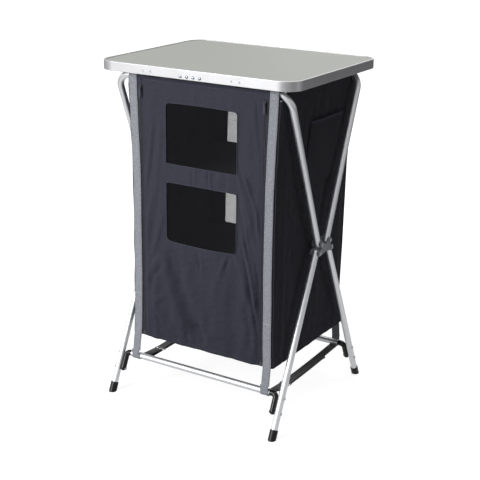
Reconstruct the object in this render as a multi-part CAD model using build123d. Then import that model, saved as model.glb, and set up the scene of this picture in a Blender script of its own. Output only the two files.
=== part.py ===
from build123d import *
import math
import os

# Camp storage shelf unit: a clip-on table top over a folding tube frame, with a hanging fabric cabinet.
# Millimetres. X runs along the width, Y to the rear, Z up, and the origin is on the floor under the middle.

# Table top
TABLE_WIDTH = 600.0
TABLE_DEPTH = 475.0
TABLE_HEIGHT = 950.0
CORNER_RADIUS = 50.0
BAND_HEIGHT = 25.0
BAND_WALL = 1.5
TOP_LIP = 5.0
TOP_LIP_THICKNESS = 1.2
BOTTOM_LIP = 7.0
EDGE_ROUND = 0.9
BOARD_THICKNESS = 5.0
BOARD_CLEARANCE = 0.25
BOARD_REBATE = 0.4
SEAM_GAP = 0.3

# Rivets of the table top
SPLICE_RIVET_PITCH = 19.6
SPLICE_RIVETS = 4
SPLICE_RIVET_HEAD = 4.6
SPLICE_RIVET_SHANK = 2.0
SPLICE_RIVET_RISE = 7.5
SPLICE_PLATE_LENGTH = 92.0
SPLICE_PLATE_HEIGHT = 14.0
SPLICE_PLATE_THICKNESS = 1.5
CLIP_RIVET_PITCH = 24.0
CLIP_RIVET_HEAD = 2.6
CLIP_RIVET_SHANK = 1.5
CLIP_RIVET_RISE = 10.5
HEAD_RISE = 0.45
RIVET_FIT = 0.05

# Clips between the table top and the top tubes
CLIP_PLACE = 0.225
CLIP_WIDTH = 38.0
CLIP_FLANGE = 3.0
CLIP_ARM = 5.0
CLIP_CHEEK = 4.0
CLIP_GRIP_DEPTH = 8.0
CLIP_SADDLE_LENGTH = 26.0
CLIP_FIT = 0.3

# Tubes
TUBE_DIAMETER = 18.0
TUBE_WALL = 1.2
LEG_INSET = 35.0
TOP_TUBE_Y = 192.0
TOP_TUBE_DROP = 38.0
TOP_BEND_RADIUS = 45.0
FOOT_Y = 246.0
RAIL_Z = 107.5

# Hubs
HUB_CENTRE_Z = 466.0
UPPER_PIN_Y = 24.0
UPPER_PIN_RISE = 16.0
LOWER_PIN_Y = 34.0
LOWER_PIN_DROP = 6.0
TUBE_STUB = 6.0
PIN_DIAMETER = 6.0
PIN_FIT = 0.05
PIN_HEAD_RADIUS = 5.0
PIN_HEAD_HEIGHT = 1.6
HUB_PLATE = 3.5
HUB_SIDE_GAP = 0.4
HUB_LOBE_RADIUS = 8.5
HUB_BOSS_RADIUS = 6.6
HUB_BOSS_HEIGHT = 1.0
HUB_POST_RADIUS = 5.5

# Corner connectors and feet
CONNECTOR_RADIUS = 8.2
CONNECTOR_NECK = 6.0
CONNECTOR_BEND = 12.0
CONNECTOR_ARM = 47.0
CONNECTOR_GAP = 0.1
PLUG_DEPTH = 20.0
PLUG_FIT = 0.1
CONNECTOR_UPPER_RIVET = 5.5
CONNECTOR_LOWER_RIVET = 43.5
CONNECTOR_RIVET_SHANK = 2.0
CONNECTOR_RIVET_HEAD = 3.8
CONNECTOR_RIVET_BITE = 10.0
FOOT_CAP_RADIUS = 11.0
FOOT_CAP_LENGTH = 27.0
FOOT_SOLE = 8.0
FOOT_FIT = 0.1

# Fabric cabinet
BAG_SHIFT = 12.0
FABRIC = 1.2
SEAM = 0.3
SLEEVE_WALL = 1.2
CLOTH_DROP = 19.0
DOOR_DROP = 8.0
TOP_COMPARTMENT = 233.0
MIDDLE_COMPARTMENT = 248.0
BOTTOM_COMPARTMENT = 232.0
SHELF_THICKNESS = 3.0
SHELF_EDGE_ROUND = 0.8
SIDE_INSET = 33.0
SIDE_RISE = 14.0
SIDE_RISE_GAP = 6.0
WAIST_UPPER = 9.0
WAIST_LOWER = 9.5
WAIST_BOTTOM = 5.0
BACK_WAIST_UPPER = 14.0
BACK_WAIST_LOWER = 21.0
BACK_TUCK = 36.0
TUCK_RISE = 55.0
BACK_WAIST_BOTTOM = 18.0
SIDE_FOLD_UPPER = 2.0
SIDE_FOLD_LOWER = 3.0
SIDE_FOLD_END = 0.6
SIDE_FOLDS = 5
FOLD_CREST = 1.8
DOOR_FOLD_UPPER = 0.6
DOOR_FOLD_LOWER = 7.0
DOOR_FOLD_BOTTOM = 4.0
DOOR_FOLDS = 7

# Door, zips and windows
ZIP_INSET = 42.0
ZIP_TAPE = 8.0
ZIP_COIL_WIDTH = 4.0
ZIP_COIL_RISE = 0.7
ZIP_BOX_HEIGHT = 12.0
ZIP_BOX_RISE = 1.6
WINDOW_WIDTH = 220.0
WINDOW_HEIGHT = 162.0
WINDOW_CORNER = 12.0
WINDOW_DROP = 52.0
WINDOW_PITCH = 213.5
REAR_WINDOW_MARGIN = 49.0
REAR_WINDOW_CORNER = 5.0
REAR_WINDOW_RISE = 11.0
NET_THICKNESS = 0.6
NET_STRAND = 3.0
NET_COLUMNS = 16
NET_ROWS = 12
REAR_NET_COLUMNS = 18
PIPING_RADIUS = 1.0
SLIDER_WIDTH = 7.4
SLIDER_HEIGHT = 12.0
SLIDER_DEPTH = 3.2
SLIDER_END = 3.0
BAIL_DEPTH = 2.0
PULL_LENGTH = 26.0
PULL_WIDTH = 5.0
PULL_THICKNESS = 1.4

# Side pocket
POCKET_WIDTH = 190.0
POCKET_BACK = 45.0
POCKET_DROP = 78.0
POCKET_HEIGHT = 175.0
POCKET_DEPTH = 8.0
CREST_GAP = 0.1

# Webbing
STRAP_WIDTH = 25.0
STRAP_THICKNESS = 1.5
STRAP_INSET = 16.0
STRAP_RAIL_INSET = 52.5
STRAP_RAIL_SHIFT = 2.5
STRAP_END_DROP = 22.0
LOOP_JOIN = 21.0
RING_INSET = 54.0
RING_SHIFT = 12.0
RING_Y = -104.0
RING_DEPTH = 14.0
RING_CORNER = 3.5
RING_WIRE = 1.3
RING_SIDE = 1.8
FRONT_STRAP_RETURN = 40.0
TAIL_Y = 116.0
TAIL_POINT = 14.0

# Sizes that follow from those above
TUBE_RADIUS = TUBE_DIAMETER / 2
PIN_RADIUS = PIN_DIAMETER / 2
LEG_X = TABLE_WIDTH / 2 - LEG_INSET
TOP_TUBE_Z = TABLE_HEIGHT - TOP_TUBE_DROP
UPPER_PIN_Z = HUB_CENTRE_Z + UPPER_PIN_RISE
LOWER_PIN_Z = HUB_CENTRE_Z - LOWER_PIN_DROP
BAND_BOTTOM = TABLE_HEIGHT - BAND_HEIGHT
SPLICE_RIVET_Z = BAND_BOTTOM + SPLICE_RIVET_RISE
CLIP_RIVET_Z = BAND_BOTTOM + CLIP_RIVET_RISE
CLIP_X = CLIP_PLACE * TABLE_WIDTH
BOARD_TOP = TABLE_HEIGHT - TOP_LIP_THICKNESS - BOARD_CLEARANCE
BOARD_BOTTOM = BOARD_TOP - BOARD_THICKNESS
BAND_INSIDE_Y = TABLE_DEPTH / 2 - BAND_WALL
LEG_SLOPE = (FOOT_Y - LOWER_PIN_Y) / LOWER_PIN_Z
LEG_ANGLE = math.atan(LEG_SLOPE)
RAIL_Y = FOOT_Y - LEG_SLOPE * RAIL_Z
UPPER_SLOPE = (TOP_TUBE_Y - UPPER_PIN_Y) / (TOP_TUBE_Z - UPPER_PIN_Z)
UPPER_ANGLE = math.atan(UPPER_SLOPE)
LEG_INNER_X = LEG_X - TUBE_RADIUS
ARM_X = LEG_INNER_X - CONNECTOR_GAP - CONNECTOR_RADIUS
BEND_START_X = ARM_X - CONNECTOR_BEND
RAIL_END_X = BEND_START_X - CONNECTOR_NECK
SLEEVE_RADIUS = TUBE_RADIUS + SEAM + SLEEVE_WALL
FRONT_Y = TOP_TUBE_Y + SLEEVE_RADIUS + SEAM + FABRIC
BAG_TOP = TOP_TUBE_Z - CLOTH_DROP
DOOR_TOP = TOP_TUBE_Z - DOOR_DROP
UPPER_SHELF_Z = BAG_TOP - TOP_COMPARTMENT
LOWER_SHELF_Z = UPPER_SHELF_Z - MIDDLE_COMPARTMENT
BAG_BOTTOM = LOWER_SHELF_Z - BOTTOM_COMPARTMENT
HALF_WIDTH_TOP = LEG_X - SIDE_INSET
HALF_WIDTH_BOTTOM = HALF_WIDTH_TOP - WAIST_BOTTOM
HALF_WIDTH_TUCK = HALF_WIDTH_TOP - (WAIST_BOTTOM + WAIST_LOWER) / 2
TUCK_Z = BAG_BOTTOM + TUCK_RISE
ZIP_X = HALF_WIDTH_TOP - ZIP_INSET
FRONT_UPPER_WINDOW_Z = DOOR_TOP - WINDOW_DROP - WINDOW_HEIGHT / 2
FRONT_LOWER_WINDOW_Z = FRONT_UPPER_WINDOW_Z - WINDOW_PITCH
REAR_WINDOW_WIDTH = 2 * (HALF_WIDTH_TOP - WAIST_LOWER - REAR_WINDOW_MARGIN)
REAR_UPPER_WINDOW_Z = UPPER_SHELF_Z + REAR_WINDOW_RISE + WINDOW_HEIGHT / 2
REAR_LOWER_WINDOW_Z = LOWER_SHELF_Z + REAR_WINDOW_RISE + WINDOW_HEIGHT / 2
POCKET_TOP = BAG_TOP - POCKET_DROP
POCKET_BOTTOM = POCKET_TOP - POCKET_HEIGHT
POCKET_FRONT_Y = POCKET_BACK - POCKET_WIDTH / 2
POCKET_REAR_Y = POCKET_BACK + POCKET_WIDTH / 2
STRAP_RAIL_X = LEG_X - STRAP_RAIL_INSET
RING_X = LEG_X - RING_INSET
ZIP_EDGE = ZIP_X + ZIP_TAPE / 2
DOOR_EDGE = ZIP_X - ZIP_TAPE / 2
STRAP_Y_TOP = FRONT_Y + SEAM
STRAP_Y_RAIL = RAIL_Y + TUBE_RADIUS + SEAM
HINGE_Y = FRONT_Y - FABRIC / 2
HINGE_Z = DOOR_TOP + PIPING_RADIUS
FLAP_BOTTOM = HINGE_Z + PIPING_RADIUS + SEAM
LOOP_RADIUS = TUBE_RADIUS + SEAM
LOOP_JOIN_Z = RAIL_Z + LOOP_JOIN
STRAP_BOTTOM = LOOP_JOIN_Z + SEAM
RING_Z = RAIL_Z - LOOP_RADIUS - STRAP_THICKNESS - SEAM - RING_WIRE
HUB_INNER_X = LEG_X - TUBE_RADIUS - HUB_SIDE_GAP
HUB_OUTER_X = LEG_X + TUBE_RADIUS + HUB_SIDE_GAP
LEVELS = [
    (BAG_TOP, HALF_WIDTH_TOP, FRONT_Y, SIDE_FOLD_END),
    (UPPER_SHELF_Z, HALF_WIDTH_TOP - WAIST_UPPER, FRONT_Y - BACK_WAIST_UPPER, SIDE_FOLD_UPPER),
    (LOWER_SHELF_Z, HALF_WIDTH_TOP - WAIST_LOWER, FRONT_Y - BACK_WAIST_LOWER, SIDE_FOLD_LOWER),
    (TUCK_Z, HALF_WIDTH_TUCK, FRONT_Y - BACK_TUCK, SIDE_FOLD_UPPER),
    (BAG_BOTTOM, HALF_WIDTH_BOTTOM, FRONT_Y - BACK_WAIST_BOTTOM, SIDE_FOLD_END),
]


def save(name, shape):
    solids = [Solid(s.wrapped) for s in shape.solids()]
    shape = solids[0] if len(solids) == 1 else Compound(children=solids)
    shape.label = name
    export_step(shape, os.path.join("parts", name + ".step"))


def block(x0, x1, y0, y1, z0, z1):
    size = Box(x1 - x0, y1 - y0, z1 - z0)
    return Pos((x0 + x1) / 2, (y0 + y1) / 2, (z0 + z1) / 2) * size


def rod(start, end, radius):
    a = Vector(*start)
    along = Vector(*end) - a
    return extrude(Plane(a, z_dir=along) * Circle(radius), along.length)


def mirror_x(shape):
    return mirror(shape, Plane.YZ)


def mirror_y(shape):
    return mirror(shape, Plane.XZ)


def at_level(z, column):
    """A cabinet size at height z, straight between the levels."""
    for above, below in zip(LEVELS, LEVELS[1:]):
        if below[0] <= z <= above[0]:
            share = (z - below[0]) / (above[0] - below[0])
            return below[column] + share * (above[column] - below[column])
    return LEVELS[0][column] if z > LEVELS[0][0] else LEVELS[-1][column]


def rounded_slab(width, depth, radius, z0, z1):
    return Pos(0, 0, z0) * extrude(RectangleRounded(width, depth, radius), z1 - z0)


# Table top
def table_board():
    """The laminate board. Its edge is thinned where the band's lip covers it."""
    inset = BAND_WALL + BOARD_CLEARANCE
    shown = TOP_LIP + BOARD_CLEARANCE
    ledge = BOARD_TOP - BOARD_REBATE
    core = rounded_slab(TABLE_WIDTH - 2 * inset, TABLE_DEPTH - 2 * inset, CORNER_RADIUS - inset, BOARD_BOTTOM, ledge)
    face = rounded_slab(TABLE_WIDTH - 2 * shown, TABLE_DEPTH - 2 * shown, CORNER_RADIUS - shown, BOARD_BOTTOM, BOARD_TOP)
    return core + face


def edge_band():
    band = rounded_slab(TABLE_WIDTH, TABLE_DEPTH, CORNER_RADIUS, BAND_BOTTOM, TABLE_HEIGHT)
    top_edges = band.edges().group_by(Axis.Z)[-1]
    bottom_edges = band.edges().group_by(Axis.Z)[0]
    band = fillet(top_edges + bottom_edges, EDGE_ROUND)
    hollow = rounded_slab(
        TABLE_WIDTH - 2 * BAND_WALL,
        TABLE_DEPTH - 2 * BAND_WALL,
        CORNER_RADIUS - BAND_WALL,
        BAND_BOTTOM + BAND_WALL,
        TABLE_HEIGHT - TOP_LIP_THICKNESS,
    )
    top_hole = rounded_slab(
        TABLE_WIDTH - 2 * TOP_LIP, TABLE_DEPTH - 2 * TOP_LIP, CORNER_RADIUS - TOP_LIP, BOARD_BOTTOM, TABLE_HEIGHT + 1
    )
    bottom_hole = rounded_slab(
        TABLE_WIDTH - 2 * BOTTOM_LIP,
        TABLE_DEPTH - 2 * BOTTOM_LIP,
        CORNER_RADIUS - BOTTOM_LIP,
        BAND_BOTTOM - 1,
        BOARD_BOTTOM,
    )
    band = band - hollow - top_hole - bottom_hole
    front = -TABLE_DEPTH / 2
    seam = block(-SEAM_GAP / 2, SEAM_GAP / 2, front - 1, front + 2 * BOTTOM_LIP, BAND_BOTTOM - 1, TABLE_HEIGHT + 1)
    holes = [band_hole(x, SPLICE_RIVET_Z, SPLICE_RIVET_SHANK) for x in splice_rivet_places()]
    holes += [band_hole(x, CLIP_RIVET_Z, CLIP_RIVET_SHANK) for x in clip_rivet_places()]
    rear_holes = [mirror_y(band_hole(x, CLIP_RIVET_Z, CLIP_RIVET_SHANK)) for x in clip_rivet_places()]
    return band - seam - holes - rear_holes


def splice_rivet_places():
    middle = (SPLICE_RIVETS - 1) / 2
    return [(i - middle) * SPLICE_RIVET_PITCH for i in range(SPLICE_RIVETS)]


def clip_rivet_places():
    return [side * CLIP_X + end * CLIP_RIVET_PITCH / 2 for side in (-1, 1) for end in (-1, 1)]


def band_hole(x, z, shank):
    """A rivet hole through the front wall and what lies just behind it."""
    reach = BAND_WALL + max(SPLICE_PLATE_THICKNESS, CLIP_FLANGE) + 1
    return rod((x, -TABLE_DEPTH / 2 - 1, z), (x, -TABLE_DEPTH / 2 + reach, z), shank + RIVET_FIT)


def dome_rivet(shank, grip, head, tail):
    """A rivet along Z: its dome stands on z = 0, the shank goes down through grip, and the tail closes under it."""
    rise = head * HEAD_RISE
    ball = (head * head + rise * rise) / (2 * rise)
    dome = (Pos(0, 0, rise - ball) * Sphere(ball)) & Pos(0, 0, rise) * Cylinder(head, 2 * rise)
    dome = dome & Pos(0, 0, rise) * Box(4 * head, 4 * head, 2 * rise)
    stem = Pos(0, 0, -grip / 2) * Cylinder(shank, grip)
    foot = Pos(0, 0, -grip - tail / 2) * Cylinder(shank * 1.5, tail)
    return dome + stem + foot


def outward(shape, x, y, z, direction):
    return Plane((x, y, z), z_dir=direction) * shape


def splice_plate():
    inner = -BAND_INSIDE_Y
    half = SPLICE_PLATE_LENGTH / 2
    low = SPLICE_RIVET_Z - SPLICE_PLATE_HEIGHT / 2 + BAND_WALL / 2
    low = max(low, BAND_BOTTOM + BAND_WALL)
    plate = block(-half, half, inner, inner + SPLICE_PLATE_THICKNESS, low, low + SPLICE_PLATE_HEIGHT)
    return plate - [band_hole(x, SPLICE_RIVET_Z, SPLICE_RIVET_SHANK) for x in splice_rivet_places()]


def splice_rivets():
    one = dome_rivet(SPLICE_RIVET_SHANK, BAND_WALL + SPLICE_PLATE_THICKNESS, SPLICE_RIVET_HEAD, 1.2)
    return [outward(one, x, -TABLE_DEPTH / 2, SPLICE_RIVET_Z, (0, -1, 0)) for x in splice_rivet_places()]


def clip_rivets():
    one = dome_rivet(CLIP_RIVET_SHANK, BAND_WALL + CLIP_FLANGE, CLIP_RIVET_HEAD, 1.0)
    front = [outward(one, x, -TABLE_DEPTH / 2, CLIP_RIVET_Z, (0, -1, 0)) for x in clip_rivet_places()]
    return front + [mirror_y(rivet) for rivet in front]


def table_clip(x):
    """A plastic clip behind the front band: its flange is riveted to the band and its saddle sits on the top tube."""
    wall = -BAND_INSIDE_Y
    top = BOARD_BOTTOM - SEAM
    bore = TUBE_RADIUS + CLIP_FIT
    saddle_bottom = TOP_TUBE_Z + TUBE_RADIUS * 0.35
    half = CLIP_SADDLE_LENGTH / 2
    parts = [
        (wall, wall + CLIP_FLANGE, BAND_BOTTOM + BAND_WALL + SEAM, top),
        (wall, -TOP_TUBE_Y, top - CLIP_ARM, top),
        (-TOP_TUBE_Y - half, -TOP_TUBE_Y + half, saddle_bottom, top),
        (-TOP_TUBE_Y + bore, -TOP_TUBE_Y + bore + CLIP_CHEEK, TOP_TUBE_Z - CLIP_GRIP_DEPTH, top),
    ]
    x0 = x - CLIP_WIDTH / 2
    x1 = x + CLIP_WIDTH / 2
    clip = block(x0, x1, parts[0][0], parts[0][1], parts[0][2], parts[0][3])
    for y0, y1, z0, z1 in parts[1:]:
        clip = clip + block(x0, x1, y0, y1, z0, z1)
    clip = clip - rod((x0 - 1, -TOP_TUBE_Y, TOP_TUBE_Z), (x1 + 1, -TOP_TUBE_Y, TOP_TUBE_Z), bore)
    return clip - [band_hole(h, CLIP_RIVET_Z, CLIP_RIVET_SHANK) for h in clip_rivet_places()]


# Frame
def front_upper_frame():
    """An upside-down U of bent tube in a plane that leans from the hubs out to the top tube."""
    run = math.hypot(TOP_TUBE_Y - UPPER_PIN_Y, TOP_TUBE_Z - UPPER_PIN_Z)
    slanted = Plane(
        (0, -UPPER_PIN_Y, UPPER_PIN_Z), x_dir=(1, 0, 0), z_dir=(0, -math.cos(UPPER_ANGLE), -math.sin(UPPER_ANGLE))
    )
    points = [(-LEG_X, -TUBE_STUB), (-LEG_X, run), (LEG_X, run), (LEG_X, -TUBE_STUB)]
    path = slanted * FilletPolyline(*points, radius=TOP_BEND_RADIUS)
    start = Plane(path @ 0, z_dir=path % 0)
    outer = sweep(start * Circle(TUBE_RADIUS), path=path)
    bore = sweep(start * Circle(TUBE_RADIUS - TUBE_WALL), path=path)
    frame = outer - bore
    return frame - [pin_hole(side, -UPPER_PIN_Y, UPPER_PIN_Z) for side in (-1, 1)]


def pin_hole(side, y, z):
    reach = TUBE_RADIUS + HUB_PLATE + HUB_SIDE_GAP + HUB_BOSS_HEIGHT + 1
    return rod((side * LEG_X - reach, y, z), (side * LEG_X + reach, y, z), PIN_RADIUS + PIN_FIT)


def pin_places():
    upper = [(-UPPER_PIN_Y, UPPER_PIN_Z), (UPPER_PIN_Y, UPPER_PIN_Z)]
    return upper + [(-LOWER_PIN_Y, LOWER_PIN_Z), (LOWER_PIN_Y, LOWER_PIN_Z)]


def lobe(y, z, radius, thickness):
    """A bar with round ends from the hub's centre to a pin, flat in the YZ plane and thickness deep along X."""
    span = math.hypot(y, z - HUB_CENTRE_Z)
    turn = math.degrees(math.atan2(z - HUB_CENTRE_Z, y))
    place = Plane((0, y / 2, (z + HUB_CENTRE_Z) / 2), x_dir=(0, 1, 0), z_dir=(1, 0, 0))
    return extrude(place * Rot(0, 0, turn) * SlotCenterToCenter(span, 2 * radius), thickness)


def hub_plate():
    """One plate of the right hub, with its inner face on x = 0 and its boss rings on the +X side."""
    places = pin_places()
    plate = lobe(places[0][0], places[0][1], HUB_LOBE_RADIUS, HUB_PLATE)
    for y, z in places[1:]:
        plate = plate + lobe(y, z, HUB_LOBE_RADIUS, HUB_PLATE)
    for y, z in places:
        plate = plate + rod((HUB_PLATE - 0.1, y, z), (HUB_PLATE + HUB_BOSS_HEIGHT, y, z), HUB_BOSS_RADIUS)
    post = rod((0.1, 0, HUB_CENTRE_Z), (SEAM / 2 - TUBE_RADIUS - HUB_SIDE_GAP, 0, HUB_CENTRE_Z), HUB_POST_RADIUS)
    plate = plate + post
    for y, z in places:
        plate = plate - rod((-1, y, z), (HUB_PLATE + HUB_BOSS_HEIGHT + 1, y, z), PIN_RADIUS + PIN_FIT)
    return plate


def hub_pins():
    grip = 2 * (TUBE_RADIUS + HUB_SIDE_GAP + HUB_PLATE + HUB_BOSS_HEIGHT)
    pins = []
    for side in (-1, 1):
        for y, z in pin_places():
            pin = rod((side * LEG_X - grip / 2, y, z), (side * LEG_X + grip / 2, y, z), PIN_RADIUS)
            for end in (-1, 1):
                face = side * LEG_X + end * grip / 2
                head = rod((face, y, z), (face + end * PIN_HEAD_HEIGHT, y, z), PIN_HEAD_RADIUS)
                rim = head.edges().group_by(Axis.X)[0 if end < 0 else -1]
                pin = pin + fillet(rim, PIN_HEAD_HEIGHT * 0.6)
            pins.append(pin)
    return pins


def leg_point(height):
    """The front leg's centreline at a height above the floor."""
    return (-(FOOT_Y - LEG_SLOPE * height), height)


def lower_leg():
    """The front right half leg."""
    stub = TUBE_STUB * math.cos(LEG_ANGLE)
    top = leg_point(LOWER_PIN_Z + stub)
    bottom = leg_point(FOOT_SOLE)
    outer = rod((LEG_X, bottom[0], bottom[1]), (LEG_X, top[0], top[1]), TUBE_RADIUS)
    bore = rod((LEG_X, bottom[0], bottom[1]), (LEG_X, top[0], top[1]), TUBE_RADIUS - TUBE_WALL)
    leg = outer - bore - pin_hole(1, -LOWER_PIN_Y, LOWER_PIN_Z)
    for y, z in connector_rivet_places():
        across = ((LEG_X - TUBE_DIAMETER, y, z), (LEG_X + TUBE_DIAMETER, y, z))
        leg = leg - rod(across[0], across[1], CONNECTOR_RIVET_SHANK + RIVET_FIT)
    return leg


def rail():
    x1 = RAIL_END_X - CONNECTOR_GAP
    tube = rod((-x1, -RAIL_Y, RAIL_Z), (x1, -RAIL_Y, RAIL_Z), TUBE_RADIUS)
    return tube - rod((-x1, -RAIL_Y, RAIL_Z), (x1, -RAIL_Y, RAIL_Z), TUBE_RADIUS - TUBE_WALL)


def connector_rivet_places():
    return [leg_point(RAIL_Z - CONNECTOR_UPPER_RIVET), leg_point(RAIL_Z - CONNECTOR_LOWER_RIVET)]


def corner_connector():
    """The front right connector: a plug inside the rail's end, a bend, and an arm down the leg's inner side."""
    down = Vector(0, -math.sin(LEG_ANGLE), -math.cos(LEG_ANGLE))
    start = Vector(RAIL_END_X, -RAIL_Y, RAIL_Z)
    bend_start = Vector(BEND_START_X, -RAIL_Y, RAIL_Z)
    corner = Vector(ARM_X, -RAIL_Y, RAIL_Z)
    bend_end = corner + down * CONNECTOR_BEND
    centre = bend_start + down * CONNECTOR_BEND
    middle = centre + (corner - centre).normalized() * CONNECTOR_BEND
    tip = corner + down * CONNECTOR_ARM
    path = Wire([Line(start, bend_start), ThreePointArc(bend_start, middle, bend_end), Line(bend_end, tip)])
    connector = sweep(Plane(start, z_dir=(1, 0, 0)) * Circle(CONNECTOR_RADIUS), path=path)
    connector = connector + Pos(tip) * Sphere(CONNECTOR_RADIUS)
    plug = rod(start - Vector(PLUG_DEPTH, 0, 0), bend_start, TUBE_RADIUS - TUBE_WALL - PLUG_FIT)
    connector = connector + plug
    return connector - [rivet_hole(place) for place in connector_rivet_spans()]


def connector_rivet_spans():
    """Each connector rivet's place and where it ends: the upper one inside the connector, the lower one behind it."""
    upper, lower = connector_rivet_places()
    return [(upper, LEG_INNER_X - CONNECTOR_RIVET_BITE), (lower, ARM_X - CONNECTOR_RADIUS)]


def rivet_hole(span):
    (y, z), end_x = span
    return rod((LEG_X, y, z), (end_x - SEAM, y, z), CONNECTOR_RIVET_SHANK + RIVET_FIT)


def connector_rivets():
    """The front frame's four rivets: heads on the legs' outer sides, and the lower ones' tails on the arms."""
    rise = CONNECTOR_RIVET_HEAD * HEAD_RISE
    outside = LEG_X + TUBE_RADIUS
    rivets = []
    for (y, z), end_x in connector_rivet_spans():
        stem = rod((end_x, y, z), (outside, y, z), CONNECTOR_RIVET_SHANK)
        head = rod((outside, y, z), (outside + rise, y, z), CONNECTOR_RIVET_HEAD)
        rivet = stem + fillet(head.edges().group_by(Axis.X)[-1], rise * 0.7)
        if end_x < ARM_X - CONNECTOR_RADIUS / 2:
            tail = rod((end_x - rise, y, z), (end_x, y, z), CONNECTOR_RIVET_HEAD)
            rivet = rivet + fillet(tail.edges().group_by(Axis.X)[0], rise * 0.7)
        rivets += [rivet, mirror_x(rivet)]
    return rivets


def foot_cap():
    """The front right foot cap, along the leg and cut flat on the floor."""
    top_z = FOOT_CAP_LENGTH * math.cos(LEG_ANGLE)
    top = leg_point(top_z)
    low = leg_point(-TUBE_DIAMETER)
    cap = rod((LEG_X, low[0], low[1]), (LEG_X, top[0], top[1]), FOOT_CAP_RADIUS)
    rim = cap.edges().filter_by(GeomType.CIRCLE).sort_by(Axis.Z)[-1]
    cap = fillet(rim, 1.0)
    cap = cap & block(LEG_X - 50, LEG_X + 50, -FOOT_Y - 60, -FOOT_Y + 60, 0, 2 * FOOT_CAP_LENGTH)
    sole = leg_point(FOOT_SOLE - SEAM)
    high = leg_point(2 * FOOT_CAP_LENGTH)
    return cap - rod((LEG_X, sole[0], sole[1]), (LEG_X, high[0], high[1]), TUBE_RADIUS + FOOT_FIT)


# Fabric cabinet
def ring_section(points):
    """A closed flat wire from corner points and arc middles: a lone Vector is a corner, a pair is (middle, end)."""
    edges = []
    here = points[0]
    for item in points[1:]:
        if isinstance(item, tuple):
            edges.append(ThreePointArc(here, item[0], item[1]))
            here = item[1]
        else:
            edges.append(Line(here, item))
            here = item
    edges.append(Line(here, points[0]))
    return Face(Wire(edges))


def folded_line(start, end, side, folds, depth, z):
    """Items for ring_section from start to end: arcs that swing out past depth and back, to one side."""
    sx, sy = start
    ex, ey = end
    items = []
    for i in range(folds):
        before = 0 if i == 0 else depth
        after = 0 if i == folds - 1 else depth
        swing = (FOLD_CREST - 1) * depth
        reach = (before + after) / 2 + (swing if i % 2 == 0 else -swing)
        middle = (i + 0.5) / folds
        share = (i + 1) / folds
        mid_x = sx + (ex - sx) * middle + side[0] * reach
        mid_y = sy + (ey - sy) * middle + side[1] * reach
        end_x = sx + (ex - sx) * share + side[0] * after
        end_y = sy + (ey - sy) * share + side[1] * after
        items.append((Vector(mid_x, mid_y, z), Vector(end_x, end_y, z)))
    return items


def side_section(z, half, back, depth):
    """The right side panel's cut: the narrow front strip beside the zip, the corner, and the side with its folds."""
    x_zip = BAG_SHIFT + ZIP_EDGE
    x_out = BAG_SHIFT + half
    x_in = x_out - FABRIC
    outer = folded_line((x_out, -FRONT_Y), (x_out, back), (1, 0), SIDE_FOLDS, depth, z)
    inner = folded_line((x_in, back), (x_in, -FRONT_Y + FABRIC), (1, 0), SIDE_FOLDS, depth, z)
    points = [Vector(x_zip, -FRONT_Y + FABRIC, z), Vector(x_zip, -FRONT_Y, z), Vector(x_out, -FRONT_Y, z)]
    points += outer
    points += [Vector(x_in, back, z)]
    points += inner
    return ring_section(points)


def side_panel():
    """The right side panel, with a rise along its head between the two sleeves."""
    panel = loft([side_section(*level) for level in reversed(LEVELS)], ruled=True)
    reach = TOP_TUBE_Y - SLEEVE_RADIUS - SIDE_RISE_GAP
    head = extrude(side_section(*LEVELS[0]), SIDE_RISE, dir=(0, 0, 1))
    head = head & block(BAG_SHIFT, LEG_X + TUBE_RADIUS, -reach, reach, BAG_TOP, BAG_TOP + SIDE_RISE)
    return panel + head


def back_panel():
    sections = []
    for z, half, back, depth in reversed(LEVELS):
        x0 = BAG_SHIFT - half + FABRIC + SEAM
        x1 = BAG_SHIFT + half - FABRIC - SEAM
        corners = [(x0, back - FABRIC), (x1, back - FABRIC), (x1, back), (x0, back)]
        sections.append(Face(Wire.make_polygon([Vector(x, y, z) for x, y in corners], close=True)))
    return loft(sections, ruled=True)


def shelf(z):
    """A covered board whose top is at z, a seam's width inside the cabinet walls, with its upper edges rounded."""
    low = z - SHELF_THICKNESS
    rim = z - SHELF_EDGE_ROUND
    x_half = min(at_level(rim, 1), at_level(low, 1)) - FABRIC - SEAM
    back = min(at_level(rim, 2), at_level(low, 2)) - FABRIC - SEAM
    front = -FRONT_Y + FABRIC + SEAM
    board = block(BAG_SHIFT - x_half, BAG_SHIFT + x_half, front, back, low, z)
    return fillet(board.edges().group_by(Axis.Z)[-1], SHELF_EDGE_ROUND)


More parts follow.
